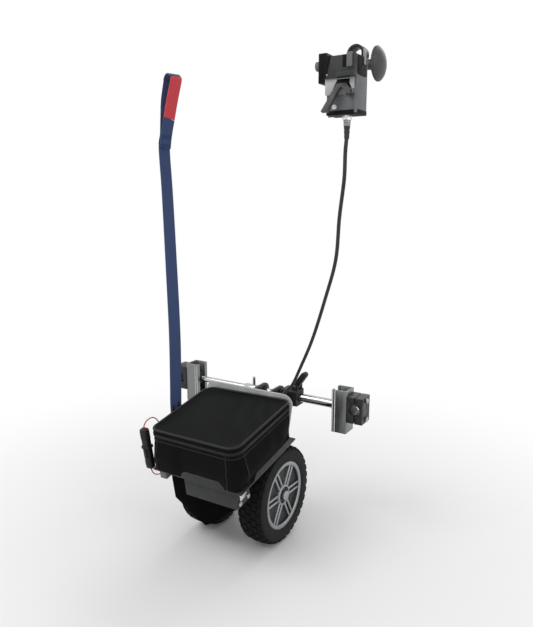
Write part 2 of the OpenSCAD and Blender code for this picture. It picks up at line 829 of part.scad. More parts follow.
module controller_box() {
    color("#3e403f") in_unit() difference() {
        block([box_x, tray_back, tray_z - box_h], [box_x + box_w, skirt_back, tray_z]);
        block([box_x + box_wall, tray_back + box_wall, tray_z - box_h + box_wall],
              [box_x + box_w - box_wall, skirt_back - box_wall, tray_z + cut]);
    }
}
module controller_board() {
    low = tray_z - box_h + box_wall;
    inset = box_wall + gap;
    color("darkgreen") in_unit() {
        block([box_x + inset, tray_back + inset, low + board_gap],
              [box_x + box_w - inset, skirt_back - inset, low + board_gap + board_t]);
        for (x = [box_x + 2 * board_gap, box_x + box_w - 2 * board_gap])
            translate([x, (tray_back + skirt_back) / 2, low]) cylinder(d = screw_d, h = board_gap);
    }
}
module rear_skirt() {
    half = wheel_d / 2;
    left = -tray_side * skirt_left_share;
    tip = skirt_tip_shares * half;
    right = [for (p = skirt_right_shares) p * half];
    color("#0c0d0d") in_unit() slab_y(skirt_back, skirt_y)
        polygon(concat([[left, tray_z], [left, skirt_side_share * half], tip], right,
                       [[right[len(right) - 1][0], tray_z]]));
}

// Wheels and axle
module tyre_shape() {
    r = wheel_d / 2;
    half = tyre_w / 2;
    rotate([0, 90, 0]) rotate_extrude($fn = 96) difference() {
        union() {
            translate([rim_d / 2, -half]) square([r - tyre_round - rim_d / 2, tyre_w]);
            translate([rim_d / 2, tyre_round - half]) square([r - rim_d / 2, tyre_w - 2 * tyre_round]);
            for (s = [-1, 1]) translate([r - tyre_round, s * (half - tyre_round)]) circle(tyre_round);
        }
        for (x = [-1, 1] * tread_groove_share * tyre_w)
            translate([r - tread_groove_t, x - tread_groove_w / 2])
                square([tread_groove_t + cut, tread_groove_w]);
    }
}
// Rim with its face towards +X, drawn for the right wheel
module rim_shape() {
    bead = rim_d / 2;
    disc_x = rim_x - rim_relief;
    difference() {
        union() {
            difference() {
                rod_x(rim_d, rim_x - rim_w, rim_x, sides = 96);
                rod_x(rim_d - 2 * rim_ring, disc_x, rim_x + cut, sides = 96);
            }
            rod_x(hub_d, hub_in, hub_out);
            for (i = [0:spoke_pairs - 1], s = [-1, 1])
                slab_x(disc_x, rim_x - rim_relief / 4) rotate(360 * i / spoke_pairs)
                    translate([0, s * spoke_apart / 2 - spoke_w / 2])
                        square([bead - rim_ring / 2, spoke_w]);
        }
        rod_x(axle_d, hub_in - cut, rim_x + cut);
        rod_x(hub_d - 2 * rim_ring, hub_out, rim_x + cut);
    }
}
module left_tyre() {
    color("#1b1c1c") in_unit() translate([tyre_w / 2 - wheel_track / 2, 0, 0]) tyre_shape();
}
module right_tyre() {
    color("#1b1c1c") in_unit() translate([wheel_track / 2 - tyre_w / 2, 0, 0]) tyre_shape();
}
module left_rim() {
    color("#8c9092") in_unit() mirror([1, 0, 0]) rim_shape();
}
module right_rim() {
    color("#8c9092") in_unit() rim_shape();
}
module axle() {
    end = hub_out + nut_t / 2;
    color("silver") in_unit() rod_x(axle_d, -end, end);
}
module wheel_nuts() {
    color("gainsboro") in_unit() for (s = [0, 1]) mirror([s, 0, 0]) difference() {
        rod_x(hub_d - 2 * rim_ring - 2 * gap, hub_out, hub_out + nut_t);
        rod_x(axle_d, hub_out - cut, hub_out + nut_t / 2);
    }
}
module axle_plates() {
    color("#2c2e2e") in_unit() for (s = [0, 1]) mirror([s, 0, 0]) difference() {
        slab_x(plate_in, plate_in + axle_plate_t) {
            circle(d = plate_eye);
            polygon([[-plate_eye / 2, 0], [plate_eye / 2, 0],
                     [plate_foot / 2, tray_z], [-plate_foot / 2, tray_z]]);
        }
        rod_x(bearing_d, plate_in - cut, plate_in + axle_plate_t + cut);
    }
}
module axle_bearings() {
    color("silver") in_unit() for (s = [0, 1]) mirror([s, 0, 0]) difference() {
        rod_x(bearing_d, plate_in, plate_in + bearing_w);
        rod_x(axle_d + 2 * run_fit, plate_in - cut, plate_in + bearing_w + cut);
    }
}

// Gears: involute teeth, tooth 0 on the outline's +X axis
function involute(a) = tan(a) * 180 / PI - a;
function half_tooth(m, z, r) = let (pitch_r = m * z / 2, base = pitch_r * cos(pressure))
    90 / z - backlash / 4 / pitch_r * 180 / PI + involute(pressure) - involute(acos(min(1, base / r)));
function gear_points(m, z) = let (
        pitch_r = m * z / 2,
        root = pitch_r - dedendum_share * m,
        first = max(root, pitch_r * cos(pressure)),
        tip = pitch_r + addendum_share * m,
        steps = 3,
        up = [for (k = [0:steps]) first + (tip - first) * k / steps],
        flank = concat(root < first ? [[root, half_tooth(m, z, first)]] : [],
                       [for (r = up) [r, half_tooth(m, z, r)]]),
        n = len(flank))
    [for (i = [0:z - 1], side = [-1, 1], k = [0:n - 1])
        let (f = flank[side < 0 ? k : n - 1 - k], a = 360 * i / z + side * f[1])
            f[0] * [cos(a), sin(a)]];
module gear_x(m, z, x0, x1, y, z_at, turn) {
    translate([0, y, z_at]) slab_x(x0, x1) rotate(turn) polygon(gear_points(m, z));
}
module axle_gear() {
    color("#9a9c98") in_unit() difference() {
        gear_x(axle_module, axle_teeth, pair2_x, pair2_x + axle_face, 0, 0, lay_angle);
        rod_x(axle_d, pair2_x - cut, pair2_x + axle_face + cut);
    }
}
module layshaft() {
    color("#9a9c98") in_unit() {
        gear_x(axle_module, pinion_teeth, pair2_x, pair2_x + axle_face, lay_y, lay_z,
               lay_angle + 180 + 180 / pinion_teeth);
        gear_x(motor_module, lay_teeth, pair1_x, pair1_x + motor_face, lay_y, lay_z, motor_angle);
        rod_x(lay_shaft_d, pair2_x + axle_face / 2, pair1_x + motor_face / 2, lay_y, lay_z);
        rod_x(lay_pin_d, cover_x + gap, motor_x - gap, lay_y, lay_z);
    }
}
module case_outline(room) {
    axle_r = axle_module * (axle_teeth / 2 + 1) + case_room + room;
    lay_r = motor_module * (lay_teeth / 2 + 1) + case_room + room;
    motor_r = motor_module * (pinion_teeth / 2 + 1) + case_room + room;
    hull() {
        circle(axle_r, $fn = 32);
        translate([lay_y, lay_z]) circle(lay_r, $fn = 32);
        translate([motor_y, motor_z]) circle(motor_r, $fn = 32);
    }
}
module gearbox_case() {
    color("#55595b") in_unit() difference() {
        slab_x(cover_x + case_wall, motor_x) case_outline(case_wall);
        slab_x(cover_x + case_wall - cut, wall_x) case_outline(0);
        rod_x(axle_d + 2 * gear_gap, wall_x - cut, motor_x + cut);
        rod_x(lay_pin_d + 2 * run_fit, wall_x - cut, motor_x + cut, lay_y, lay_z);
        rod_x(motor_module * (pinion_teeth + 2) + case_room, wall_x - cut, motor_x + cut,
              motor_y, motor_z);
    }
}
module gearbox_cover() {
    color("#55595b") in_unit() difference() {
        slab_x(cover_x, cover_x + case_wall) case_outline(case_wall);
        rod_x(axle_d + 2 * gear_gap, cover_x - cut, cover_x + case_wall + cut);
        rod_x(lay_pin_d + 2 * run_fit, cover_x - cut, cover_x + case_wall + cut, lay_y, lay_z);
    }
}
module motor_can() {
    back_x = motor_x + motor_l;
    color("#1e2022") in_unit() translate([0, motor_y, motor_z]) difference() {
        rod_x(motor_d, motor_x, back_x);
        rod_x(motor_d - 2 * motor_wall, motor_x + motor_wall, back_x - motor_wall);
        rod_x(motor_shaft_d + 2 * run_fit, motor_x - cut, back_x + cut);
    }
}
module motor_rotor() {
    color("#9a6a3a") in_unit() {
        gear_x(motor_module, pinion_teeth, pair1_x, pair1_x + motor_face, motor_y, motor_z,
               motor_angle + 180 + 180 / pinion_teeth);
        rod_x(motor_shaft_d, pair1_x, motor_x + motor_l, motor_y, motor_z);
        rod_x(motor_d - 2 * motor_wall - 2 * core_gap, motor_x + motor_wall + core_gap,
              motor_x + motor_l - motor_wall - core_gap, motor_y, motor_z);
    }
}

// Battery connector, leads and glands
module plug_shape(z0, z1) {
    translate([0, 0, z0]) linear_extrude(z1 - z0)
        round_rect([-plug_w / 2, -plug_d / 2], [plug_w / 2, plug_d / 2], plug_d / 4);
}
module battery_plug() {
    color("#141414") in_unit() translate(plug_at) plug_shape(-plug_len, -gap);
}
module battery_socket() {
    color("#141414") in_unit() translate(plug_at) plug_shape(-2 * plug_len, -plug_len);
}
module battery_leads() {
    color("#a32424") in_unit() {
        cord(lead_high, cable_side, lead_d, 3);
        cord(lead_low, cable_side, lead_d, 3);
    }
}
module glands() {
    color("#8f9394") in_unit() {
        difference() {
            rod_y(gland_d, tray_front, gland_mouth[1], gland_x, gland_z);
            rod_y(cable_d + 2 * gap, tray_front - cut, gland_mouth[1] + cut, gland_x, gland_z);
        }
        block([clip_x, clip_y, tray_z - clip_h], [clip_x + clip_w, clip_y + clip_l, tray_z]);
    }
}

// Hand control
module control_housing() {
    low = control_z - control_h;
    back = control_y + control_d;
    color("#47494a") difference() {
        block([control_x, control_y, low], [control_x + control_w, back, control_z]);
        block([control_x + control_wall, control_y + shell_t, low + control_wall],
              [control_x + control_w - control_wall, back + cut, control_z - control_wall]);
        block([control_x + recess_left, control_y - cut, control_z - recess_top - recess_h],
              [control_x + control_w - recess_right, control_y + recess_t, control_z - recess_top]);
        rod_x(throttle_pin_d, control_x - cut, control_x + control_w - recess_right / 2,
              pivot_y, pivot_z);
        rod_x(dial_spindle_d + 2 * run_fit, control_x - cut, control_x + dial_spindle_len + gap,
              control_y + dial_in, control_z - dial_down);
        block([control_x - cut, control_y - cut, low - cut],
              [control_x + control_w - plate_t, control_y + box_step, control_z - recess_top - recess_h + cut]);
        rod_y(button_d + 2 * run_fit, control_y, control_y + box_step + button_len + 2 * button_travel,
              control_x + button_right, low + button_up);
    }
}
module control_panel() {
    right = control_x + control_w;
    color("#303233") {
        block([control_x, control_y - panel_t, control_z - recess_top], [right, control_y, control_z]);
        slab_x(right - visor_w, right)
            polygon([[control_y - panel_t, control_z - recess_top],
                     [control_y - panel_t - visor_t, control_z - recess_top],
                     [control_y - panel_t - visor_t, control_z - recess_top + visor_h / 2],
                     [control_y - panel_t, control_z - recess_top + visor_h]]);
        difference() {
            block([control_x - cheek_t, control_y + cheek_in, control_z - cheek_down],
                  [control_x, control_y + cheek_in + cheek_d, control_z + cheek_up]);
            rod_x(dial_spindle_d + 2 * run_fit, control_x - cheek_t - cut, control_x + cut,
                  control_y + dial_in, control_z - dial_down);
        }
    }
}
module control_board() {
    inset = control_wall + gap;
    front = control_y + shell_t;
    color("darkgreen") {
        block([control_x + inset, front + board_gap, control_z - control_h + inset],
              [control_x + control_w - inset, front + board_gap + board_t, control_z - inset]);
        for (z = [control_z - control_h + 2 * screw_d, control_z - 2 * screw_d])
            rod_y(screw_d, front, front + board_gap, control_x + control_w / 2, z);
    }
}
module control_bracket() {
    back = control_y + control_d;
    color("#6c6f70") {
        block([arm_x, back, control_z - control_h], [control_x + control_w, back + back_t, control_z]);
        block([arm_x, back, arm_top - arm_h],
              [arm_x + arm_w, handle_y + handle_clamp_len / 2, arm_top]);
    }
}
module control_connector() {
    low = control_z - control_h;
    color("#c9cccc") translate([control_x + connector_x, control_y + connector_y, low]) {
        translate([0, 0, -connector_t]) cylinder(d = connector_d, h = connector_t);
        translate([0, 0, -connector_t - relief_t]) cylinder(d = relief_d, h = relief_t);
    }
}
module handle_clamp() {
    outer = handle_d / 2 + handle_wall;
    y0 = handle_y - handle_clamp_len / 2;
    y1 = handle_y + handle_clamp_len / 2;
    color("#1c1d1d") difference() {
        union() {
            rod_y(2 * outer, y0, y1, handle_x, handle_z);
            block([handle_x - ear_w / 2, y0, arm_top],
                  [handle_x + ear_w / 2, y1, handle_z - handle_d / 2]);
        }
        rod_y(handle_d, y0 - cut, y1 + cut, handle_x, handle_z);
        block([handle_x - ear_split / 2, y0 - cut, arm_top - cut],
              [handle_x + ear_split / 2, y1 + cut, handle_z]);
        translate([handle_x, handle_y, handle_z - screw_far])
            rod_x(knob_screw_d + 2 * run_fit, -ear_w, ear_w);
    }
}
module clamp_knob() {
    neck_x = handle_x + ear_w / 2 + gap;
    hub_x = handle_x + handle_d / 2 + handle_wall + gap;
    head_x = hub_x + knob_hub_len;
    color("#222424") translate([0, handle_y, handle_z - screw_far]) {
        rod_x(knob_screw_d, handle_x - ear_w / 2, head_x);
        rod_x(knob_neck_d, neck_x, head_x);
        rod_x(knob_hub_d, hub_x, head_x);
        translate([head_x, 0, 0]) rotate([0, 90, 0]) rotate_extrude($fn = 64) intersection() {
            translate([0, knob_t - knob_d]) circle(knob_d);
            square([knob_d / 2, knob_t]);
        }
    }
}
module throttle_lever() {
    hub_w = control_w - recess_left - recess_right - 2 * gap;
    color("#3a3c3d") difference() {
        translate([control_x + throttle_x, pivot_y, pivot_z]) {
            rotate([-throttle_tilt, 0, 0]) slab_y(-throttle_t / 2, throttle_t / 2)
                polygon([for (p = throttle_shares)
                    [p[0] * throttle_w - throttle_x, (p[1] - 1) * throttle_len]]);
            rod_x(throttle_hub_d, -throttle_hub_d, throttle_hub_d);
        }
        rod_x(throttle_pin_d + 2 * run_fit, control_x, control_x + hub_w, pivot_y, pivot_z);
    }
}
module throttle_pin() {
    color("silver") translate([control_x, pivot_y, pivot_z])
        rod_x(throttle_pin_d, 0, control_w - recess_right / 2);
}
module speed_dial() {
    color("#7d8081") translate([control_x, control_y + dial_in, control_z - dial_down]) {
        rod_x(dial_d, -cheek_t - gap - dial_t, -cheek_t - gap);
        rod_x(dial_spindle_d, -cheek_t - gap, dial_spindle_len);
    }
}
module power_button() {
    face = control_y + box_step;
    color("whitesmoke") rod_y(button_d, face - button_out, face + button_len,
                              control_x + button_right, control_z - control_h + button_up);
}

// Cable and strap
module control_cable() {
    color("#191a1a") cord(cable_points, cable_side, cable_d, 5);
}
function loop_point(a) = loop_at + strap_face * (loop_r * cos(a)) + [0, 0, loop_r * sin(a)];
module lift_strap() {
    path = concat(strap_low, [loop_at + seam_end + strap_face * strap_apart,
                              loop_at + seam_at + strap_face * strap_apart,
                              loop_at + loop_low + strap_face * loop_open,
                              loop_at + loop_low / 2 + strap_face * loop_wide],
                  [for (k = [0:loop_steps]) loop_point(blue_angle * k / loop_steps)]);
    color("#34466e") band(path, strap_side_low, strap_side, strap_w, strap_t, 3);
}
module strap_pull() {
    path = concat([loop_at + seam_end - strap_face * strap_apart,
                   loop_at + seam_at - strap_face * strap_apart,
                   loop_at + loop_low - strap_face * strap_apart,
                   loop_at + loop_low / 2 - strap_face * loop_r / 2],
                  [for (a = [180, red_angle]) loop_point(a)]);
    color("#d2444c") band(path, strap_side, strap_side, strap_w, strap_t, 3);
}

left_receiver();
left_saddle();
left_cap();
left_clamp_bolts();
left_slider();
bar_rod();
stop_sleeve();
stop_pin();
bar_tube();
right_slider();
right_receiver();
right_saddle();
right_cap();
right_clamp_bolts();
bar_clamp();
bar_lever();
bar_lever_pin();
tray();
front_plate();
pivot_bracket();
pivot_bushes();
frame_bolts();
bag_body();
bag_lid();
battery_pack();
controller_box();
controller_board();
rear_skirt();
axle_plates();
axle_bearings();
axle();
axle_gear();
left_tyre();
right_tyre();
left_rim();
right_rim();
wheel_nuts();
gearbox_case();
gearbox_cover();
layshaft();
motor_can();
motor_rotor();
battery_plug();
battery_socket();
battery_leads();
glands();
control_housing();
control_panel();
control_board();
control_bracket();
control_connector();
handle_clamp();
clamp_knob();
throttle_lever();
throttle_pin();
speed_dial();
power_button();
control_cable();
lift_strap();
strap_pull();
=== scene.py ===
import json
import math
import bpy
from mathutils import Matrix, Vector

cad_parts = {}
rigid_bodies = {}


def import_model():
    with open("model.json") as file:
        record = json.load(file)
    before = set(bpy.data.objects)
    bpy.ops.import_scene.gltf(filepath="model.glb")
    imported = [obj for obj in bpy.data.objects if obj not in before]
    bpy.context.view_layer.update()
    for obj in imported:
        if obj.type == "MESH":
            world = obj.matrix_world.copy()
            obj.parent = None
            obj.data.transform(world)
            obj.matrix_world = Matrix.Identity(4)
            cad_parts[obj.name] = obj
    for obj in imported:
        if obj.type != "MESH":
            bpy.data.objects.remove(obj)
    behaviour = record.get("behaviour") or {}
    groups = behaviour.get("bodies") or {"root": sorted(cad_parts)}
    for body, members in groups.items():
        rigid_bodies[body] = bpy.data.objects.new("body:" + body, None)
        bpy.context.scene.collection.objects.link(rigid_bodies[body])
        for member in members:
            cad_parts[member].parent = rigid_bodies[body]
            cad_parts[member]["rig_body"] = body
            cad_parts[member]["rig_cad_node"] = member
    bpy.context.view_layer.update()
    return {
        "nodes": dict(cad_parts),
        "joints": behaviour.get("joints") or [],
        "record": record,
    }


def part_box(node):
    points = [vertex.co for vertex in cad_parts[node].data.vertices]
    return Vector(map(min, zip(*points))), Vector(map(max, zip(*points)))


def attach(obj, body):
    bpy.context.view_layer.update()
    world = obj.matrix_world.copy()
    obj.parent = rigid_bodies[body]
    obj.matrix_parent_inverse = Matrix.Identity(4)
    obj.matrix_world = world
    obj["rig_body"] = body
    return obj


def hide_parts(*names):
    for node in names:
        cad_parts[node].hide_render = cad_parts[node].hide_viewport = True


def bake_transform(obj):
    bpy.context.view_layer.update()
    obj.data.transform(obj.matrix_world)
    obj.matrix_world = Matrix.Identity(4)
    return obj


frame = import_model()
cadNodes = frame["nodes"]
bodyOf = {n: b for b, members in frame["record"]["behaviour"]["bodies"].items() for n in members}
slotOf = {s["node"]: s["material_slot"] for s in frame["record"]["subparts"]}
jointAt = {j["name"]: Vector(j["pos_m"]) for j in frame["joints"] if "pos_m" in j}

# the drive unit leans back on its axle: its own pieces are modelled upright and then leaned
driveUnit = {"lean": 10.5, "floor": -0.244}
leanAngle = math.radians(driveUnit["lean"])
unitFrame = Matrix.Translation(jointAt["wheel_spin"]) @ Matrix.Rotation(leanAngle, 4, "X")
quarterTurn = math.radians(90)


# node helpers
def addNode(tree, kind, settings=None, **inputs):
    made = tree.nodes.new("ShaderNode" + kind)
    for key, value in (settings or {}).items():
        setattr(made, key, value)
    for key, value in inputs.items():
        made.inputs[key].default_value = value
    return made


def calc(tree, operation, a, b):
    made = addNode(tree, "Math", {"operation": operation})
    for socket, value in zip(made.inputs, (a, b)):
        if isinstance(value, (int, float)):
            socket.default_value = value
        else:
            tree.links.new(value, socket)
    return made.outputs[0]


def weigh(tree, a, b, share):  # a takes the share and b the rest
    return calc(tree, "ADD", calc(tree, "MULTIPLY", a, share), calc(tree, "MULTIPLY", b, 1 - share))


def newFinish(name, color, rough, spec=0.5, metal=0.0):
    finish = bpy.data.materials.new(name)
    finish.use_nodes = True
    shader = finish.node_tree.nodes["Principled BSDF"]
    shader.inputs["Base Color"].default_value = (*color, 1)
    shader.inputs["Roughness"].default_value = rough
    shader.inputs["Metallic"].default_value = metal
    shader.inputs["Specular IOR Level"].default_value = spec
    return finish, finish.node_tree, shader


# camera, floor and light
camera = {
    "place": (0.82705, -1.00566, 0.39026), "aim": (0.20962, 0.0, 0.16065), "lens": 34.68,
    "sensor": 36.0, "clipFrom": 0.01}
studio = {
    "floorSize": 14.0, "floorX": 0.2, "floorGap": 0.0004, "floorColor": (0.86, 0.86, 0.86),
    "floorRough": 0.9, "floorSpec": 0.1, "ambient": 0.62, "middle": (0.22, -0.1, -0.244),
    "fadeFrom": 0.28, "fadeTo": 1.0, "lampAim": (0.22, -0.1, 0.1),
    "lamps": [("keyLamp", (-0.9, -1.7, 2.3), 1.6, 30.0), ("fillLamp", (2.2, -0.9, 1.2), 1.5, 7.5),
        ("backLamp", (0.2, 1.9, 1.9), 1.6, 16.0)]}


def aimedAt(place, aim):
    return (Vector(aim) - Vector(place)).to_track_quat("-Z", "Y").to_euler()


def addCamera():
    bpy.ops.object.camera_add(location=camera["place"])
    eye = bpy.context.object
    eye.name = "photoCamera"
    eye.rotation_euler = aimedAt(camera["place"], camera["aim"])
    eye.data.sensor_fit = "AUTO"
    eye.data.sensor_width = camera["sensor"]
    eye.data.lens = camera["lens"]
    eye.data.clip_start = camera["clipFrom"]
    bpy.context.scene.camera = eye


def addLamp(name, place, size, power):
    bpy.ops.object.light_add(type="AREA", location=place)
    lamp = bpy.context.object
    lamp.name = name
    lamp.data.size = size
    lamp.data.energy = power
    lamp.rotation_euler = aimedAt(place, studio["lampAim"])


def seenDirectly(tree):  # 1 for what the camera, a mirror or glass sees
    rays = addNode(tree, "LightPath").outputs
    seen = calc(tree, "MAXIMUM", rays["Is Camera Ray"], rays["Is Glossy Ray"])
    return calc(tree, "MAXIMUM", seen, rays["Is Transmission Ray"])


def mixShaders(tree, factor, first, second, out):
    mix = addNode(tree, "MixShader")
    for socket, source in zip(mix.inputs, (factor, first.outputs[0], second.outputs[0])):
        tree.links.new(source, socket)
    tree.links.new(mix.outputs[0], out.inputs["Surface"])


def buildStudio():
    world = bpy.data.worlds.new("studioWorld")
    bpy.context.scene.world = world
    world.use_nodes = True
    tree = world.node_tree
    tree.nodes.clear()
    out = addNode(tree, "OutputWorld")
    soft = addNode(tree, "Background", None, Color=(1, 1, 1, 1), Strength=studio["ambient"])
    white = addNode(tree, "Background", None, Color=(1, 1, 1, 1), Strength=1.0)
    mixShaders(tree, seenDirectly(tree), soft, white, out)

    height = driveUnit["floor"] - studio["floorGap"]
    bpy.ops.mesh.primitive_plane_add(size=studio["floorSize"],
                                     location=(studio["floorX"], 0, height))
    floor = bpy.context.object
    floor.name = "studioFloor"
    bpy.ops.object.transform_apply(location=True, rotation=True, scale=True)
    paper, tree, shader = newFinish("floorPaper", studio["floorColor"], studio["floorRough"],
                                    studio["floorSpec"])
    # far out the paper runs into white
    reach = addNode(tree, "VectorMath", {"operation": "DISTANCE"})
    reach.inputs[1].default_value = studio["middle"]
    tree.links.new(addNode(tree, "TexCoord").outputs["Object"], reach.inputs[0])
    fade = addNode(tree, "MapRange", {"interpolation_type": "SMOOTHSTEP"},
                   **{"From Min": studio["fadeFrom"], "From Max": studio["fadeTo"]})
    tree.links.new(reach.outputs["Value"], fade.inputs["Value"])
    share = calc(tree, "MULTIPLY", fade.outputs["Result"], seenDirectly(tree))
    mixShaders(tree, share, shader, addNode(tree, "Emission"), tree.nodes["Material Output"])
    floor.data.materials.append(paper)
    for lamp in studio["lamps"]:
        addLamp(*lamp)
    bpy.context.scene.view_settings.view_transform = "Standard"


addCamera()
buildStudio()
print("studio: camera, floor and lamps set")


# working helpers: the angles here are degrees
smooth = {"bevelFrom": 32, "hard": 35, "tube": 40}
edgeCuts = {"soft": 2, "fine": 3, "round": 4}  # segments of a rounded edge
weldGap = 0.00001
nearGap = 0.0001  # places closer than this count as one
cornerSigns = ((1, 1), (-1, 1), (-1, -1), (1, -1))  # front right, front left, rear left, rear right


def clearSelection():
    if bpy.context.object and bpy.context.object.mode != "OBJECT":
        bpy.ops.object.mode_set(mode="OBJECT")
    bpy.ops.object.select_all(action="DESELECT")


def activate(piece):
    clearSelection()
    piece.select_set(True)
    bpy.context.view_layer.objects.active = piece


def applyPlace(piece, **changes):  # location, rotation_euler and scale become part of the mesh
    for key, value in changes.items():
        setattr(piece, key, value)
    activate(piece)
    bpy.ops.object.transform_apply(location=True, rotation=True, scale=True)


def enterEdit(piece):  # edit mode with the whole mesh selected
    activate(piece)
    bpy.ops.object.mode_set(mode="EDIT")
    bpy.ops.mesh.select_all(action="SELECT")


def leaveEdit():
    bpy.ops.object.mode_set(mode="OBJECT")


def smoothBy(kind):
    bpy.ops.object.shade_smooth_by_angle(angle=math.radians(smooth[kind]))


def faceOutwards(piece):
    enterEdit(piece)
    bpy.ops.mesh.remove_doubles(threshold=weldGap)
    bpy.ops.mesh.normals_make_consistent(inside=False)
    leaveEdit()


def addMesh(name, verts, faces, edges=()):
    mesh = bpy.data.meshes.new(name)
    mesh.from_pydata(verts, edges, faces)
    piece = bpy.data.objects.new(name, mesh)
    bpy.context.scene.collection.objects.link(piece)
    return piece


def addBox(name, low, high):
    clearSelection()
    low, high = Vector(low), Vector(high)
    bpy.ops.mesh.primitive_cube_add(size=1, location=(low + high) / 2)
    piece = bpy.context.object
    piece.name = name
    applyPlace(piece, scale=high - low)
    return piece


def addPrism(name, corners, low, high):  # corners are (x, z), low and high are along y
    count = len(corners)
    verts = [(x, y, z) for y in (low, high) for x, z in corners]
    faces = [tuple(range(count)), tuple(range(2 * count - 1, count - 1, -1))]
    faces += [(k, (k + 1) % count, count + (k + 1) % count, count + k) for k in range(count)]
    piece = addMesh(name, verts, faces)
    faceOutwards(piece)
    return piece


def addRod(name, start, end, radius, sides=32):
    clearSelection()
    start, end = Vector(start), Vector(end)
    bpy.ops.mesh.primitive_cylinder_add(vertices=sides, radius=radius, depth=(end - start).length,
                                        location=(start + end) / 2)
    piece = bpy.context.object
    piece.name = name
    applyPlace(piece, rotation_euler=(end - start).to_track_quat("Z", "Y").to_euler())
    return piece


def selectOnly(piece, kind, test):  # edit mode, with what passes the test selected
    activate(piece)
    bpy.context.tool_settings.mesh_select_mode = (False, kind == "edges", kind == "polygons")
    for group in ("vertices", "edges", "polygons"):
        parts = getattr(piece.data, group)
        parts.foreach_set("select", [group == kind and bool(test(part)) for part in parts])
    bpy.ops.object.mode_set(mode="EDIT")


def runsAlong(axis):  # a test for the edges that run along an axis
    return lambda a, b: abs(a[axis] - b[axis]) > nearGap


def bevelEdges(piece, width, segments, test):  # the test is given the two ends of an edge
    verts = piece.data.vertices
    selectOnly(piece, "edges", lambda edge: test(*(verts[k].co for k in edge.vertices)))
    bpy.ops.mesh.bevel(offset=width, segments=segments, affect="EDGES", clamp_overlap=True)
    leaveEdit()


def applyModifier(piece, kind, **settings):
    activate(piece)
    made = piece.modifiers.new(kind.lower(), kind)
    for key, value in settings.items():
        setattr(made, key, value)
    bpy.ops.object.modifier_apply(modifier=made.name)


def softenEdges(piece, width, segments=edgeCuts["soft"]):
    applyModifier(piece, "BEVEL", width=width, segments=segments, limit_method="ANGLE",
                  angle_limit=math.radians(smooth["bevelFrom"]))
    smoothBy("hard")


def thicken(piece, wall, offset=-1.0):
    applyModifier(piece, "SOLIDIFY", thickness=wall, offset=offset)


def refine(piece, levels=1):
    applyModifier(piece, "SUBSURF", levels=levels, render_levels=levels)
    bpy.ops.object.shade_smooth()


def cutLevels(piece, axis, levels):  # flat cuts right through, to shape the faces between them
    for level in levels:
        enterEdit(piece)
        bpy.ops.mesh.bisect(plane_co=[level * a for a in axis], plane_no=axis)
        leaveEdit()


def spinRound(name, outline, steps, closed=True):  # outline is (x, radius), turned about the X axis
    points = [(x, 0, r) for x, r in outline]
    last = len(points) - 1
    edges = [(i, i + 1) for i in range(last)] + ([(last, 0)] if closed else [])
    piece = addMesh(name, points, [], edges)
    enterEdit(piece)
    bpy.ops.mesh.spin(steps=steps, angle=2 * math.pi, center=(0, 0, 0), axis=(1, 0, 0))
    leaveEdit()
    faceOutwards(piece)
    smoothBy("hard")
    return piece


def repeatRound(piece, count):  # copies the whole mesh round the X axis
    enterEdit(piece)
    bpy.ops.mesh.spin(steps=count - 1, dupli=True, angle=2 * math.pi * (count - 1) / count,
                      center=(0, 0, 0), axis=(1, 0, 0))
    leaveEdit()


def joinPieces(name, pieces):
    clearSelection()
    for piece in pieces:
        piece.select_set(True)
    bpy.context.view_layer.objects.active = pieces[0]
    bpy.ops.object.join()
    pieces[0].name = name
    return pieces[0]


def between(a, b, share):
    return Vector([a[k] + share[k] * (b[k] - a[k]) for k in range(3)])


def smoothRoute(points, steps):  # a smooth curve through all the points
    points = [Vector(p) for p in points]
    last = len(points) - 1
    route = []
    for i in range(last):
        a, b, c, d = points[max(i - 1, 0)], points[i], points[i + 1], points[min(i + 2, last)]
        for k in range(steps):
            t = k / steps
            square, cube = 2 * a - 5 * b + 4 * c - d, 3 * b - a - 3 * c + d
            route.append((2 * b + (c - a) * t + square * t ** 2 + cube * t ** 3) / 2)
    return route + [points[last]]


def addTube(name, points, radius, closed=False, rings=3):
    curve = bpy.data.curves.new(name, "CURVE")
    curve.dimensions = "3D"
    curve.bevel_depth = radius
    curve.bevel_resolution = rings
    curve.use_fill_caps = not closed
    spline = curve.splines.new("POLY")
    spline.points.add(len(points) - 1)
    for place, p in zip(spline.points, points):
        place.co = (*p, 1)
    spline.use_cyclic_u = closed
    piece = bpy.data.objects.new(name, curve)
    bpy.context.scene.collection.objects.link(piece)
    activate(piece)
    bpy.ops.object.convert(target="MESH")
    piece = bpy.context.object
    smoothBy("tube")
    return piece


def leanWithUnit(piece):  # from the unit's upright working place to its leaning one
    applyPlace(piece, matrix_world=unitFrame @ piece.matrix_world)


def paint(piece, finish):
    piece.data.materials.clear()
    piece.data.materials.append(finishes[finish])


def seat(piece, finish, body, slot, *nodes):
    paint(piece, finish)
    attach(piece, body)
    if nodes:
        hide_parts(*nodes)
    return piece


# finishes
def objectCoords(tree, scale=(1, 1, 1), turn=(0, 0, 0)):
    mapping = addNode(tree, "Mapping", None, Scale=scale, Rotation=turn)
    tree.links.new(addNode(tree, "TexCoord").outputs["Object"], mapping.inputs["Vector"])
    return mapping.outputs["Vector"]


def cloudy(tree, coords, scale, detail, rough=0.55):
    cloud = addNode(tree, "TexNoise", None, Scale=scale, Detail=detail, Roughness=rough)
    tree.links.new(coords, cloud.inputs["Vector"])
    return cloud.outputs["Fac"]


waveLength = math.pi / 10  # of the wave texture at scale 1


def bands(tree, coords, axis, period, warp=0.0):
    wave = addNode(tree, "TexWave", {"bands_direction": axis, "wave_profile": "SIN"},
                   Scale=waveLength / period, Distortion=warp, Detail=1.0)
    tree.links.new(coords, wave.inputs["Vector"])
    return wave.outputs["Fac"]


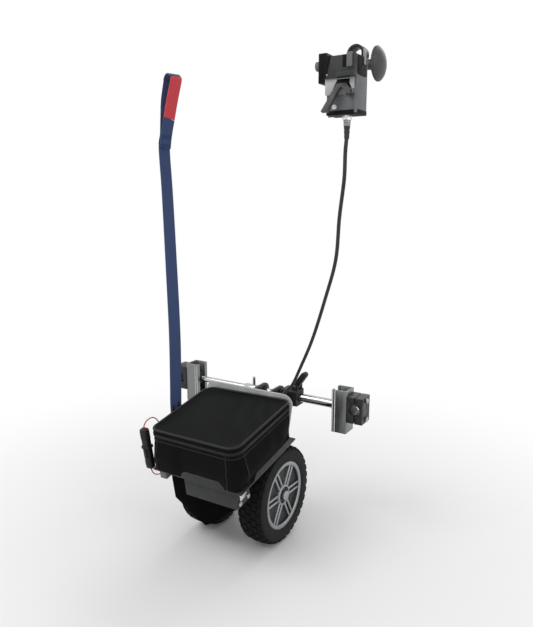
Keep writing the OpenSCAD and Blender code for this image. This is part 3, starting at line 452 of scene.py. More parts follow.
def ramp(tree, factor, stops):  # stops are (position, grey or color)
    made, stops = addNode(tree, "ValToRGB"), list(stops)
    while len(made.color_ramp.elements) < len(stops):
        made.color_ramp.elements.new(0.5)
    for element, (position, tone) in zip(made.color_ramp.elements, stops):
        element.position = position
        element.color = (*tone, 1) if hasattr(tone, "__len__") else (tone, tone, tone, 1)
    tree.links.new(factor, made.inputs["Fac"])
    return made.outputs["Color"]


def addBump(tree, shader, height, strength, distance):
    bump = addNode(tree, "Bump", None, Strength=strength, Distance=distance)
    tree.links.new(height, bump.inputs["Height"])
    tree.links.new(bump.outputs["Normal"], shader.inputs["Normal"])


def shade(color, amount):
    return tuple(min(1.0, c * amount) for c in color)


rampEnds = (0.3, 0.7)


def vary(tree, shader, key, factor, low, high):
    tree.links.new(ramp(tree, factor, zip(rampEnds, (low, high))), shader.inputs[key])


def varyColor(tree, shader, factor, color, tones):
    vary(tree, shader, "Base Color", factor, *(shade(color, tone) for tone in tones))


# grained kinds: each noise's scale, detail and roughness, and what it does to the finish
grains = {
    "paint": {"stain": (38, 3), "tones": (0.86, 1.14), "wear": (90, 5), "rough": (-0.07, 0.09),
        "relief": (850, 2), "bump": (0.12, 0.0004), "spec": 0.3},
    "metal": {"stain": (420, 4), "tones": (0.86, 1.1), "wear": (420, 4), "rough": (-0.06, 0.1),
        "relief": (420, 4), "bump": (0.06, 0.0002), "spec": 0.5},
    "plastic": {"stain": (60, 4), "tones": (0.88, 1.12), "wear": (140, 4), "rough": (-0.06, 0.08),
        "relief": (1900, 2), "bump": (0.22, 0.00025), "spec": 0.28},
    "rubber": {"stain": (45, 6, 0.65), "tones": (0.75, 1.35), "wear": (110, 4),
        "rough": (-0.08, 0.08), "relief": (700, 4, 0.6), "bump": (0.18, 0.0004), "spec": 0.2}}


def grainFinish(kind, name, color, rough, spec=None, stretch=(1, 1, 1)):
    grain = grains[kind]
    finish, tree, shader = newFinish(name, color, rough, grain["spec"] if spec is None else spec,
                                     1.0 if kind == "metal" else 0.0)
    coords = objectCoords(tree, stretch)
    varyColor(tree, shader, cloudy(tree, coords, *grain["stain"]), color, grain["tones"])
    vary(tree, shader, "Roughness", cloudy(tree, coords, *grain["wear"]),
         *(rough + change for change in grain["rough"]))
    addBump(tree, shader, cloudy(tree, coords, *grain["relief"]), *grain["bump"])
    return finish


weaveLook = {
    "spec": 0.05, "sheen": 0.01, "sheenRough": 0.5, "warp": 0.4, "axisShare": 0.333,
    "worn": (24, 5, 0.6), "weaveShare": 0.55, "tones": (0.72, 1.3), "bump": (0.45, 0.0005)}


def clothFinish(name, color, rough, period):  # plain weave on the leaning bag, with a slight sheen
    finish, tree, shader = newFinish(name, color, rough, weaveLook["spec"])
    shader.inputs["Sheen Weight"].default_value = weaveLook["sheen"]
    shader.inputs["Sheen Roughness"].default_value = weaveLook["sheenRough"]
    coords = objectCoords(tree, (1, 1, 1), (-leanAngle, 0, 0))
    weave = bands(tree, coords, "X", period, weaveLook["warp"])
    for axis in ("Y", "Z"):
        weave = calc(tree, "ADD", weave, bands(tree, coords, axis, period, weaveLook["warp"]))
    weave = calc(tree, "MULTIPLY", weave, weaveLook["axisShare"])
    tone = weigh(tree, weave, cloudy(tree, coords, *weaveLook["worn"]), weaveLook["weaveShare"])
    varyColor(tree, shader, tone, color, weaveLook["tones"])
    addBump(tree, shader, weave, *weaveLook["bump"])
    return finish


webbingLook = {
    "rough": 0.72, "spec": 0.25, "sheen": 0.15, "ribs": ("X", 0.0022), "picks": ("Y", 0.0017, 0.8),
    "twill": ("DIAGONAL", 0.003), "ribShare": 0.5, "weaveShare": 0.75, "tones": (0.62, 1.22),
    "bump": (0.5, 0.0006)}


def webbingFinish(name, color):  # ribbed webbing, with U across and V along it in metres
    finish, tree, shader = newFinish(name, color, webbingLook["rough"], webbingLook["spec"])
    shader.inputs["Sheen Weight"].default_value = webbingLook["sheen"]
    uv = addNode(tree, "UVMap", {"uv_map": "strapRun"}).outputs["UV"]
    ribs, picks, twill = (bands(tree, uv, *webbingLook[key]) for key in ("ribs", "picks", "twill"))
    weave = weigh(tree, ribs, picks, webbingLook["ribShare"])
    weave = weigh(tree, weave, twill, webbingLook["weaveShare"])
    varyColor(tree, shader, weave, color, webbingLook["tones"])
    addBump(tree, shader, weave, *webbingLook["bump"])
    return finish


# the flank ends at these radii, in tenths of a metre
tyreLook = {
    "rough": 0.78, "spec": 0.12, "flank": [(0.822, 1.0), (0.85, 0.0)], "perMetre": 10,
    "flankShare": 0.62, "dust": (55, 6, 0.7),
    "tones": [(0.1, 0.35), (0.3, 0.7), (0.7, 1.35), (0.95, 1.9)], "wear": (120, 4),
    "wearRough": (0.68, 0.88), "relief": (900, 3), "bump": (0.2, 0.0003)}


def tyreFinish(name, color):  # moulded tyre: grey bloom on the flanks, dark tread
    finish, tree, shader = newFinish(name, color, tyreLook["rough"], tyreLook["spec"])
    coords = objectCoords(tree)
    axle = jointAt["wheel_spin"]
    across = addNode(tree, "VectorMath", {"operation": "MULTIPLY_ADD"})
    across.inputs[1].default_value = (0, 1, 1)
    across.inputs[2].default_value = (0, -axle.y, -axle.z)
    radius = addNode(tree, "VectorMath", {"operation": "LENGTH"})
    tree.links.new(coords, across.inputs[0])
    tree.links.new(across.outputs["Vector"], radius.inputs[0])
    reach = calc(tree, "MULTIPLY", radius.outputs["Value"], tyreLook["perMetre"])
    flank = ramp(tree, reach, tyreLook["flank"])
    tone = weigh(tree, flank, cloudy(tree, coords, *tyreLook["dust"]), tyreLook["flankShare"])
    stops = [(position, shade(color, amount)) for position, amount in tyreLook["tones"]]
    tree.links.new(ramp(tree, tone, stops), shader.inputs["Base Color"])
    vary(tree, shader, "Roughness", cloudy(tree, coords, *tyreLook["wear"]), *tyreLook["wearRough"])
    addBump(tree, shader, cloudy(tree, coords, *tyreLook["relief"]), *tyreLook["bump"])
    return finish


boardLook = {
    "rough": 0.4, "tracks": (0.003, 6.0), "tones": [(0.55, 0.8), (0.65, 1.9)], "relief": (300, 4),
    "bump": (0.1, 0.0003)}


def boardFinish(name, color):  # circuit board with a ghost of its tracks
    finish, tree, shader = newFinish(name, color, boardLook["rough"])
    coords = objectCoords(tree)
    stops = [(position, shade(color, amount)) for position, amount in boardLook["tones"]]
    tracks = ramp(tree, bands(tree, coords, "X", *boardLook["tracks"]), stops)
    tree.links.new(tracks, shader.inputs["Base Color"])
    addBump(tree, shader, cloudy(tree, coords, *boardLook["relief"]), *boardLook["bump"])
    return finish


# how much darker or lighter than the record's color each finish is under this light
toneOf = {
    "tray_paint": 0.62, "box_paint": 0.7, "black_metal": 0.7, "bare_aluminium": 0.36,
    "chrome": 0.65, "bolt_steel": 0.7, "black_plastic": 0.6, "dark_plastic": 0.85,
    "grey_plastic": 1.22, "bag_fabric": 0.5, "lid_fabric": 0.5, "skirt_rubber": 0.25,
    "cable_rubber": 2.4}
# colors of the finishes that have no slot of their own
ownColor = {
    "thread": (0.012, 0.018, 0.045), "rimDark": (0.03, 0.031, 0.032),
    "piping": (0.010, 0.010, 0.010), "zipTape": (0.006, 0.006, 0.006),
    "zipTooth": (0.016, 0.016, 0.016), "knobGrey": (0.056, 0.057, 0.057),
    "leverGrey": (0.055, 0.056, 0.057), "linerGrey": (0.45, 0.45, 0.45),
    # the near-black serves black plastic and also painted shade: the lever's slot, its hub and pin,
    # and the control's underside
    "slotBlack": (0.006, 0.006, 0.006), "nickel": (0.72, 0.72, 0.70),
    "darkNickel": (0.30, 0.30, 0.30)}
# roughness, then specular share and stretch of the grain where they aren't the kind's own
grained = {
    "paint": {"black_metal": (0.42,), "tray_paint": (0.5,), "plate_paint": (0.48,),
        "box_paint": (0.52,), "rimDark": (0.5,)},
    "plastic": {"battery_case": (0.6,), "black_plastic": (0.5,), "dark_plastic": (0.5,),
        "grey_plastic": (0.5,), "white_plastic": (0.3,), "zipTooth": (0.35,),
        "knobGrey": (0.42, 0.35), "leverGrey": (0.48, 0.3), "linerGrey": (0.55,),
        "slotBlack": (0.6, 0.1)},
    "metal": {"bare_aluminium": (0.34, None, (1, 1, 0.04)), "bolt_steel": (0.28,),
        "chrome": (0.1, None, (0.05, 1, 1)), "rim": (0.36,),
        "gear_steel": (0.35, None, (0.1, 1, 1)), "cast_case": (0.55,),
        # the bright nickel is plated metal on the plate and connector, and painted highlight on the
        # receivers' beads
        "nickel": (0.22, None, (1, 1, 0.1)), "darkNickel": (0.35, None, (1, 1, 0.1))},
    "rubber": {"skirt_rubber": (0.75, 0.02), "red_lead": (0.45, 0.3), "cable_rubber": (0.5, 0.25),
        "thread": (0.8,), "piping": (0.45, 0.25)}}
woven = {"bag_fabric": (0.8, 0.0011), "lid_fabric": (0.78, 0.0011), "zipTape": (0.75, 0.0007)}


def buildFinishes():
    colorOf = {m["slot"]: shade(m["base_color"][:3], toneOf.get(m["slot"], 1.0))
               for m in frame["record"]["materials"]}
    colorOf.update(ownColor)
    made = {}
    for kind, members in grained.items():
        for name, settings in members.items():
            made[name] = grainFinish(kind, name, colorOf[name], *settings)
    for name, settings in woven.items():
        made[name] = clothFinish(name, colorOf[name], *settings)
    for name in ("blue_webbing", "red_webbing"):
        made[name] = webbingFinish(name, colorOf[name])
    made["tyre"] = tyreFinish("tyre", colorOf["tyre"])
    made["board"] = boardFinish("board", colorOf["board"])
    return made


finishes = buildFinishes()
for nodeName, node in cadNodes.items():
    paint(node, slotOf[nodeName])
print("finishes:", len(finishes))


# control cable, from the connector under the control to the gland on the front plate
cable = {
    "diameter": 0.006, "steps": 8, "rings": 4, "top": (0.437, -0.140, 0.493), "drop": 0.015,
    "gland": (0.040, 0.063, 0.150), "glandDepth": 0.008, "bend": 0.029, "blend": (4, 12),
    "shares": [(0.01, 0, 0.08), (0.02, 0.03, 0.16), (0.08, 0.15, 0.28), (0.15, 0.38, 0.42),
        (0.3, 0.63, 0.56), (0.49, 0.9, 0.72), (0.68, 1.11, 0.85), (0.8, 1.29, 0.92)],
    "bendShares": [(0.62, 1, 0.55), (0.24, 0.82, 0.2), (0.03, 0.44, 0.04)],
    "relief": [(0.0, 0.0031), (0.0, 0.0048), (0.004, 0.0046), (0.005, 0.0041), (0.0062, 0.0041),
        (0.0072, 0.0044), (0.0108, 0.0042), (0.0118, 0.0038), (0.013, 0.0038), (0.014, 0.0041),
        (0.0175, 0.0038), (0.019, 0.0033), (0.019, 0.0031)],
    "reliefSteps": 32}


def cableRoute():
    top, gland = Vector(cable["top"]), Vector(cable["gland"])
    mouth = unitFrame @ gland
    points = [top, top - Vector((0, 0, cable["drop"]))]
    points += [between(top, mouth, s) for s in cable["shares"]]
    points += [unitFrame @ (gland + cable["bend"] * Vector(s)) for s in cable["bendShares"]]
    return points + [mouth, unitFrame @ (gland - Vector((0, cable["glandDepth"], 0)))]


def buildCable():
    points = cableRoute()
    route = smoothRoute(points, cable["steps"])
    cord = addTube("controlCable", route, cable["diameter"] / 2, rings=cable["rings"])
    paint(cord, "cable_rubber")
    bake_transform(cord)
    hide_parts("control_cable")
    relief = spinRound("cableRelief", cable["relief"], cable["reliefSteps"])
    applyPlace(relief, rotation_euler=(0, quarterTurn, 0), location=cable["top"])
    seat(relief, "cable_rubber", "carrier", "cable_rubber")


# lift strap: a loop with a red end at the top, then down to the keeper on the tray
strap = {
    "width": 0.025, "thick": 0.002, "spare": 0.0002, "steps": 6, "across": 6, "holdShare": 0.17,
    "twistShare": 0.4, "loop": (0.006, -0.025, 0.614), "loopRadius": 0.013, "turn": 17.5,
    "loopLow": (0.0, -0.015, -0.073), "loopWide": 0.015, "loopOpen": 0.010, "apart": 0.0016,
    "seam": (-0.003, -0.021, -0.104), "seamEnd": (-0.005, -0.024, -0.130),
    "foot": (-0.096, -0.058, (0.093, 0.10075, 0.108, 0.1165)), "blend": (4, 0),
    "shares": [(0.02, 0.01, 0.04), (0.1, 0.08, 0.1), (0.19, 0.19, 0.18), (0.38, 0.41, 0.35),
        (0.7, 0.73, 0.62), (0.93, 0.95, 0.84)],
    "blueEnd": 145, "blueSteps": 5, "redEnd": 150, "halfLoop": 180, "tailShare": 0.02,
    "stitchRows": (0.1, 0.24, 0.76, 0.9), "stitches": 7, "stitchPitch": 0.0032,
    "stitchLength": 0.0022, "stitchOut": 0.0010, "stitchArch": 0.0004, "stitchRadius": 0.00035}


def strapBand(name, points, lowSide, topSide):
    route = smoothRoute(points, strap["steps"])
    last = len(route) - 1
    across, hold = strap["across"], strap["holdShare"]
    verts, faces, marks = [], [], []
    run = 0.0
    for i, p in enumerate(route):
        run += (p - route[i - 1]).length if i else 0.0
        turn = min(1.0, max(0.0, i / last - hold) / (strap["twistShare"] - hold))
        side = lowSide * (1 - turn) + topSide * turn
        ahead = (route[min(i + 1, last)] - route[max(i - 1, 0)]).normalized()
        face = ahead.cross(side).normalized()
        width = face.cross(ahead).normalized() * strap["width"]
        for k in range(across + 1):
            u = k / across - 0.5
            verts.append(p + width * u)
            marks.append((u * strap["width"], run))
    for i in range(last):
        for k in range(across):
            a = i * (across + 1) + k
            faces.append((a, a + 1, a + across + 2, a + across + 1))
    piece = addMesh(name, verts, faces)
    layer = piece.data.uv_layers.new(name="strapRun")
    for corner in piece.data.loops:
        layer.data[corner.index].uv = marks[corner.vertex_index]
    thicken(piece, strap["thick"] - strap["spare"], 0.0)
    smoothBy("tube")
    return piece, run


def buildStrap():
    turn = math.radians(strap["turn"])
    keys = ("loop", "seam", "seamEnd", "loopLow")
    top, seam, seamEnd, loopLow = (Vector(strap[key]) for key in keys)
    side = Vector((math.sin(turn), math.cos(turn), 0))
    face = Vector((-math.cos(turn), math.sin(turn), 0))
    radius = strap["loopRadius"]

    def onLoop(angle):
        a = math.radians(angle)
        return top + face * (radius * math.cos(a)) + Vector((0, 0, radius * math.sin(a)))

    x, y, heights = strap["foot"]
    low = [unitFrame @ Vector((x, y, z)) for z in heights]
    lowSide = Vector((0, math.cos(leanAngle), math.sin(leanAngle)))
    apart = face * strap["apart"]
    run = [between(low[-1], top + seamEnd, s) for s in strap["shares"]]
    blue = low + run + [top + seamEnd + apart, top + seam + apart]
    blue += [top + loopLow + face * strap["loopOpen"], top + loopLow / 2 + face * strap["loopWide"]]
    steps = strap["blueSteps"]
    blue += [onLoop(strap["blueEnd"] * k / steps) for k in range(steps + 1)]
    red = [onLoop(strap["redEnd"]), onLoop(strap["halfLoop"])]
    red += [top + loopLow / 2 - face * radius / 2, top + loopLow - apart]
    tail = [red[-1] + (top + seam - apart - red[-1]) * strap["tailShare"], top + seam - apart,
            top + seamEnd - apart]
    band, length = strapBand("liftStrap", blue, lowSide, side)
    paint(band, "blue_webbing")
    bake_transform(band)
    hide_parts("lift_strap")
    pull, pullLength = strapBand("strapPull", red, side, side)
    seat(pull, "red_webbing", "carrier", "red_webbing", "strap_pull")
    lap, lapLength = strapBand("strapLap", tail, side, side)
    seat(lap, "blue_webbing", "carrier", "blue_webbing", "strap_pull")

    threads = []  # stitched rows across the lap, sewn through both layers
    pitch, stitch = strap["stitchPitch"], strap["stitchLength"]
    out = strap["apart"] + strap["stitchOut"]
    for share in strap["stitchRows"]:
        middle = top + seam + (seamEnd - seam) * share
        for k in range(strap["stitches"]):
            along = pitch * (k - (strap["stitches"] - 1) / 2) - stitch / 2
            a = middle + side * along - face * out
            b = a + side * stitch
            arch = [a, (a + b) / 2 - face * strap["stitchArch"], b]
            threads.append(addTube("stitch", arch, strap["stitchRadius"], rings=1))
    seat(joinPieces("strapStitches", threads), "thread", "carrier", "blue_webbing")
    print("strap: blue %.3f m, red %.3f m, lap %.3f m" % (length, pullLength, lapLength))


# wheels: block tread on a round carcass, silver ring, spoke pairs and hub on a dark core
# each row of blocks: x, half width, radius, tilt
wheel = {
    "centre": 0.066, "blocks": 34, "blockLength": 0.0108, "blockHeight": 0.0062,
    "blockEdge": 0.0009, "blockTop": 0.001,
    "rows": [(-0.0208, 0.0040, 0.0882, -32), (-0.0100, 0.0046, 0.0907, -5),
        (0.0, 0.0036, 0.0912, 0), (0.0100, 0.0046, 0.0907, 5), (0.0208, 0.0040, 0.0882, 32)],
    "carcass": [(-0.0225, 0.0628), (-0.0242, 0.0640), (-0.0250, 0.0668), (-0.0254, 0.0690),
        (-0.0250, 0.0706), (-0.0251, 0.0750), (-0.0246, 0.0798), (-0.0230, 0.0848),
        (-0.0188, 0.0874), (-0.0095, 0.0885), (0.0, 0.0887)],
    "core": [(0.044, 0.0061), (0.044, 0.0628), (0.0862, 0.0628), (0.0866, 0.0600), (0.0858, 0.0578),
        (0.0826, 0.0562), (0.0816, 0.0500), (0.0812, 0.0230), (0.0826, 0.0190), (0.0842, 0.0172),
        (0.0842, 0.0061)],
    "ring": [(0.0846, 0.0553), (0.0872, 0.0551), (0.0885, 0.0559), (0.0890, 0.0590),
        (0.0888, 0.0621), (0.0877, 0.0633), (0.0850, 0.0635)],
    "hubRing": [(0.0815, 0.0152), (0.0868, 0.0152), (0.0878, 0.0158), (0.0880, 0.0172),
        (0.0876, 0.0186), (0.0866, 0.0193), (0.0815, 0.0197)],
    "tyreSteps": 96, "coreSteps": 72, "ringSteps": 96, "hubSteps": 48, "spokes": 6,
    "spokeWidth": 0.0046, "spokeApart": 0.0102, "spokeTurn": -42, "spokeX": (0.0808, 0.0868),
    "spokeRadii": (0.0165, 0.0592), "spokeEdge": 0.0015, "spokeFace": 0.086}


def treadBlocks(x, half, top, tilt, stagger):
    length, height = wheel["blockLength"], wheel["blockHeight"]
    block = addBox("treadBlock", (-half, -length / 2, -height), (half, length / 2, 0))
    bevelEdges(block, wheel["blockEdge"], 1, lambda a, b: max(a.z, b.z) > -wheel["blockTop"])
    applyPlace(block, rotation_euler=(0, math.radians(tilt), 0), location=(x, 0, top))
    applyPlace(block, rotation_euler=(stagger, 0, 0))
    repeatRound(block, wheel["blocks"])
    return block


def buildWheel(side):
    sign = 1 if side == "right" else -1
    half = wheel["carcass"]
    outline = half + [(-x, r) for x, r in reversed(half[:-1])]
    pieces = [spinRound(side + "Tyre", outline, wheel["tyreSteps"])]
    pitch = 2 * math.pi / wheel["blocks"]
    for k, row in enumerate(wheel["rows"]):
        pieces.append(treadBlocks(*row, stagger=pitch / 2 * (k % 2)))
    tyre = joinPieces(side + "Tyre", pieces)
    applyPlace(tyre, location=(sign * wheel["centre"], 0, 0))
    leanWithUnit(tyre)
    seat(tyre, "tyre", "wheelset", "tyre", side + "_tyre")

    core = spinRound(side + "RimCore", wheel["core"], wheel["coreSteps"])
    ring = spinRound(side + "RimRing", wheel["ring"], wheel["ringSteps"])
    hub = spinRound(side + "HubRing", wheel["hubRing"], wheel["hubSteps"])
    bars = []
    width, (backX, faceX) = wheel["spokeWidth"], wheel["spokeX"]
    inner, outer = wheel["spokeRadii"]
    for shift in (-wheel["spokeApart"] / 2, wheel["spokeApart"] / 2):
        bar = addBox("spoke", (backX, shift - width / 2, inner), (faceX, shift + width / 2, outer))
        bevelEdges(bar, wheel["spokeEdge"], edgeCuts["fine"],
                   lambda a, b: min(a.x, b.x) > wheel["spokeFace"])
        bars.append(bar)
    spokes = joinPieces(side + "Spokes", bars)
    repeatRound(spokes, wheel["spokes"])
    applyPlace(spokes, rotation_euler=(math.radians(wheel["spokeTurn"]), 0, 0))
    smoothBy("hard")
    for piece, finish in ((core, "rimDark"), (ring, "rim"), (hub, "rim"), (spokes, "rim")):
        if sign < 0:
            applyPlace(piece, scale=(-1, 1, 1))
            faceOutwards(piece)
        leanWithUnit(piece)
        seat(piece, finish, "wheelset", "rim", side + "_rim")


# bag: a soft shell with sewn corner seams, a zip below the lid's band, piping round the lid's top
# its corner radii start at the front right and go round by the left
bag = {
    "side": 0.089, "back": -0.131, "front": 0.040, "bottom": 0.0958, "lidLine": 0.1637,
    "top": 0.1752, "corners": (0.012, 0.022, 0.014, 0.021), "cornerCuts": 7, "loopSteps": 10,
    "wall": 0.0024, "bodyGap": 0.0004, "lidGap": 0.0003, "flat": 0.9, "bodyEdge": 0.0035,
    "lidEdge": 0.003, "bodyCuts": (7, 4), "lidCuts": (8, 7), "levelStep": 0.0105, "levels": 5,
    "band": 0.009, "frames": 18, "bodyPressure": 2.2, "lidPressure": 1.6, "bodyWeight": 0.4,
    "lidWeight": 0.3, "mostMove": 0.0042, "heldBand": 0.0092, "heldFoot": 0.006, "heldLid": 0.0009,
    "heldSeam": 0.25, "seamReach": 0.002, "seamNear": 0.0003, "core": 0.03, "shell": 0.012,
    "sag": 0.0052, "sagLeft": 0.0075, "cornerSag": 0.009, "tight": 0.0021, "sagFoot": 0.16,
    "sagTop": 0.7, "railTop": 0.107, "railNear": 0.004, "tab": (-0.034, 0.064, 0.1095),
    "puff": (0.006, 0.0035), "puffFrom": 0.02, "seam": 0.0009, "zipSeam": (0.0004, 0.0098, 0.0008),
    "piping": 0.0021, "pipingIn": 0.0004, "pipingDown": 0.0016, "pulls": (-0.060, -0.045)}
clothSettings = {
    "quality": 8, "mass": 0.2, "tension_stiffness": 12, "compression_stiffness": 12,
    "shear_stiffness": 6, "bending_stiffness": 0.6, "air_damping": 4, "shrink_min": -0.012}
zipper = {
    "tooth": 0.0021, "toothOut": 0.0012, "toothAlong": 0.3, "toothDeep": (-0.0007, 0.0009),
    "toothHigh": 0.0014, "toothShare": 1.8, "tapeOut": 0.0003, "tapeSwell": 0.0003,
    "tapeWall": 0.0007,
    "sides": [("zipLow", "drive_unit", -0.0075, -0.0006, 0.0, -0.0006),
        ("zipHigh", "bag_lid", 0.0006, 0.0064, 0.5, 0.0006)],
    "slider": ((-0.0048, -0.0036, -0.0045), (-0.0014, 0.0036, 0.0045)), "sliderEdge": 0.0011,
    "bridge": (-0.0044, -0.0016, 1.5, 0.0045),
    "bridgeSteps": (-0.0036, -0.0018, 0.0, 0.0018, 0.0036), "bridgeRadius": 0.0007,
    "pull": ((-0.0062, -0.0027, 0.001), (-0.0048, 0.0027, 0.0185)), "pullEdge": 0.0006}


def settleCloth(piece, held, pressure, weight):
    activate(piece)
    rest = [v.co.copy() for v in piece.data.vertices]
    sewn = piece.vertex_groups.new(name="sewn")
    for v in piece.data.vertices:
        sewn.add([v.index], held(v.co), "REPLACE")
    cloth = piece.modifiers.new("settle", "CLOTH")
    for key, value in clothSettings.items():
        setattr(cloth.settings, key, value)
    cloth.settings.vertex_group_mass = sewn.name
    cloth.settings.use_pressure = True
    cloth.settings.uniform_pressure_force = pressure
    cloth.settings.effector_weights.gravity = weight
    cloth.collision_settings.use_collision = False
    cloth.point_cache.frame_start = 1
    cloth.point_cache.frame_end = bag["frames"]
    for step in range(1, bag["frames"] + 1):
        bpy.context.scene.frame_set(step)
    bpy.ops.object.modifier_apply(modifier=cloth.name)
    bpy.context.scene.frame_set(1)
    most = 0.0
    for v, start in zip(piece.data.vertices, rest):
        move = v.co - start
        most = max(most, move.length)
        if move.length > bag["mostMove"]:
            v.co = start + move * (bag["mostMove"] / move.length)
    piece.vertex_groups.clear()
    print(piece.name, "settled, moved up to %.4f m" % most)


def bagLoop(out, height):  # points round the bag's outline, each corner with its own radius
    loop, steps = [], bag["loopSteps"]
    for quarter, ((sx, sy), corner) in enumerate(zip(cornerSigns, bag["corners"])):
        r = corner + out
        edge = bag["front"] + out if sy > 0 else bag["back"] - out
        cx, cy = sx * (bag["side"] + out - r), edge - sy * r
        for k in range(steps + 1):
            a = math.radians(90 * (quarter + k / steps))
            loop.append(Vector((cx + r * math.cos(a), cy + r * math.sin(a), height)))
    return loop


def zipLoop(out, height):  # round the left, rear and right sides, open at the lid's hinge
    loop = bagLoop(out, height)
    steps = len(loop) // 4
    return loop[steps + steps // 2:] + loop[:steps // 2]


def spread(points, gap):  # evenly spaced places along a route, each with its heading
    places, left = [], gap / 2
    for a, b in zip(points, points[1:]):
        length = (b - a).length
        while left < length:
            places.append((a + (b - a) * (left / length), (b - a).normalized()))
            left += gap
        left -= length
    return places


def zipTeeth(name, height, shift):
    verts, faces = [], []
    along, high, up = zipper["toothAlong"], zipper["toothHigh"], Vector((0, 0, 1))
    for place, ahead in spread(zipLoop(zipper["toothOut"], height), zipper["tooth"]):
        out = ahead.cross(up)
        base = len(verts)
        for a in (-along, along):
            for o in zipper["toothDeep"]:
                for h in (-high, high):
                    verts.append(place + ahead * ((a + shift) * zipper["tooth"]) + out * o + up * h)
        for quad in ((0, 1, 3, 2), (4, 6, 7, 5), (0, 4, 5, 1),
                     (2, 3, 7, 6), (0, 2, 6, 4), (1, 5, 7, 3)):
            faces.append([base + q for q in quad])
    piece = addMesh(name, verts, faces)
    faceOutwards(piece)
    return piece


def flatTape(name, low, high):  # a band round the zip's sides
    out = zipper["tapeOut"]
    middle = zipLoop(out + zipper["tapeSwell"], (low + high) / 2)
    rows = [zipLoop(out, low), middle, zipLoop(out, high)]
    count = len(rows[0])
    faces = []
    for start in (0, count):
        faces += [(k, k + 1, k + count + 1, k + count) for k in range(start, start + count - 1)]
    piece = addMesh(name, [p for row in rows for p in row], faces)
    thicken(piece, zipper["tapeWall"], 1.0)
    smoothBy("tube")
    return piece


def zipPull(y):  # a slider on the left side's zip, its pull standing up past the lid's edge
    place = Vector((-bag["side"], y, bag["lidLine"]))
    slider, tab = (addBox(name, *(place + Vector(corner) for corner in zipper[key]))
                   for name, key in (("zipPull", "slider"), ("tab", "pull")))
    softenEdges(slider, zipper["sliderEdge"], edgeCuts["fine"])
    out, arch, bend, reach = zipper["bridge"]
    bow = [place + Vector((out + arch * math.cos(h / reach * bend), 0, h))
           for h in zipper["bridgeSteps"]]
    bridge = addTube("bridge", bow, zipper["bridgeRadius"])
    softenEdges(tab, zipper["pullEdge"])
    return joinPieces("zipPull", [slider, bridge, tab])


def ease(share):
    share = max(0.0, min(1.0, share))
    return share * share * (3 - 2 * share)


def sagWalls(piece):  # the load pushes the walls out, less where the tray or the plate holds them
    side, back, front, core = bag["side"], bag["back"], bag["front"], bag["core"]
    tabFrom, tabTo, tabTop = bag["tab"]
    for v in piece.data.vertices:
        x, y, z = v.co
        share = (z - bag["bottom"]) / (bag["lidLine"] - bag["bottom"])
        innerX = max(core - side, min(side - core, x))
        innerY = max(back + core, min(front - core, y))
        out = v.co - Vector((innerX, innerY, z))
        if out.length > core - bag["shell"]:
            fade = ease((1 - share) / bag["sagTop"])
            most = bag["sag" if x > core - side else "sagLeft"]
            most = most * ease(share / bag["sagFoot"]) * fade
            rear, behindTab = y < back + core, tabFrom < x < tabTo
            byRail = abs(x) > side - bag["railNear"] and z < bag["railTop"]
            if (rear and behindTab and z < tabTop) or byRail or y > front - core:
                most = min(most, bag["tight"])
            elif rear and not behindTab:  # nothing holds the rear corners
                most = max(most, bag["cornerSag"] * fade)
            v.co += out.normalized() * most


def puffCorner(piece):  # the load lifts the front right corner and pushes it out
    start = bag["puffFrom"]
    for v in piece.data.vertices:
        along = (v.co.y - bag["back"]) / (bag["front"] - bag["back"])
        up = (v.co.z - bag["railTop"]) / (bag["lidLine"] - bag["railTop"])
        share = ease((v.co.x + start) / (bag["side"] + start)) * ease(along) * ease(up)
        v.co.x += bag["puff"][0] * share
        v.co.z += bag["puff"][1] * share


def seatBag(piece, finish, body, slot, *nodes):
    puffCorner(piece)
    leanWithUnit(piece)
    seat(piece, finish, body, slot, *nodes)


def openShell(name, low, high, openUp, edge, levels, cuts):  # round corners, open above or below
    side, back, front = bag["side"], bag["back"], bag["front"]
    middle, half = (back + front) / 2, (front - back) / 2
    piece = addBox(name, (-side, back, low), (side, front, high))
    for (sx, sy), radius in zip(cornerSigns, bag["corners"]):
        bevelEdges(piece, radius, bag["cornerCuts"],
                   lambda a, b: abs(a.z - b.z) > nearGap and (a - b).xy.length < nearGap
                   and a.x * sx > 0 and (a.y - middle) * sy > 0)
    selectOnly(piece, "polygons", lambda face: face.normal.z * openUp > bag["flat"])
    bpy.ops.mesh.delete(type="FACE")
    leaveEdit()
    shut = low if openUp > 0 else high
    bevelEdges(piece, edge, edgeCuts["fine"],
               lambda a, b: max(abs(a.z - shut), abs(b.z - shut)) < nearGap)
    parts, reach = cuts
    shares = [k / parts for k in range(-reach, reach + 1)]
    cutLevels(piece, (0, 0, 1), levels)
    cutLevels(piece, (1, 0, 0), [side * s for s in shares])
    cutLevels(piece, (0, 1, 0), [middle + half * s for s in shares])
    return piece


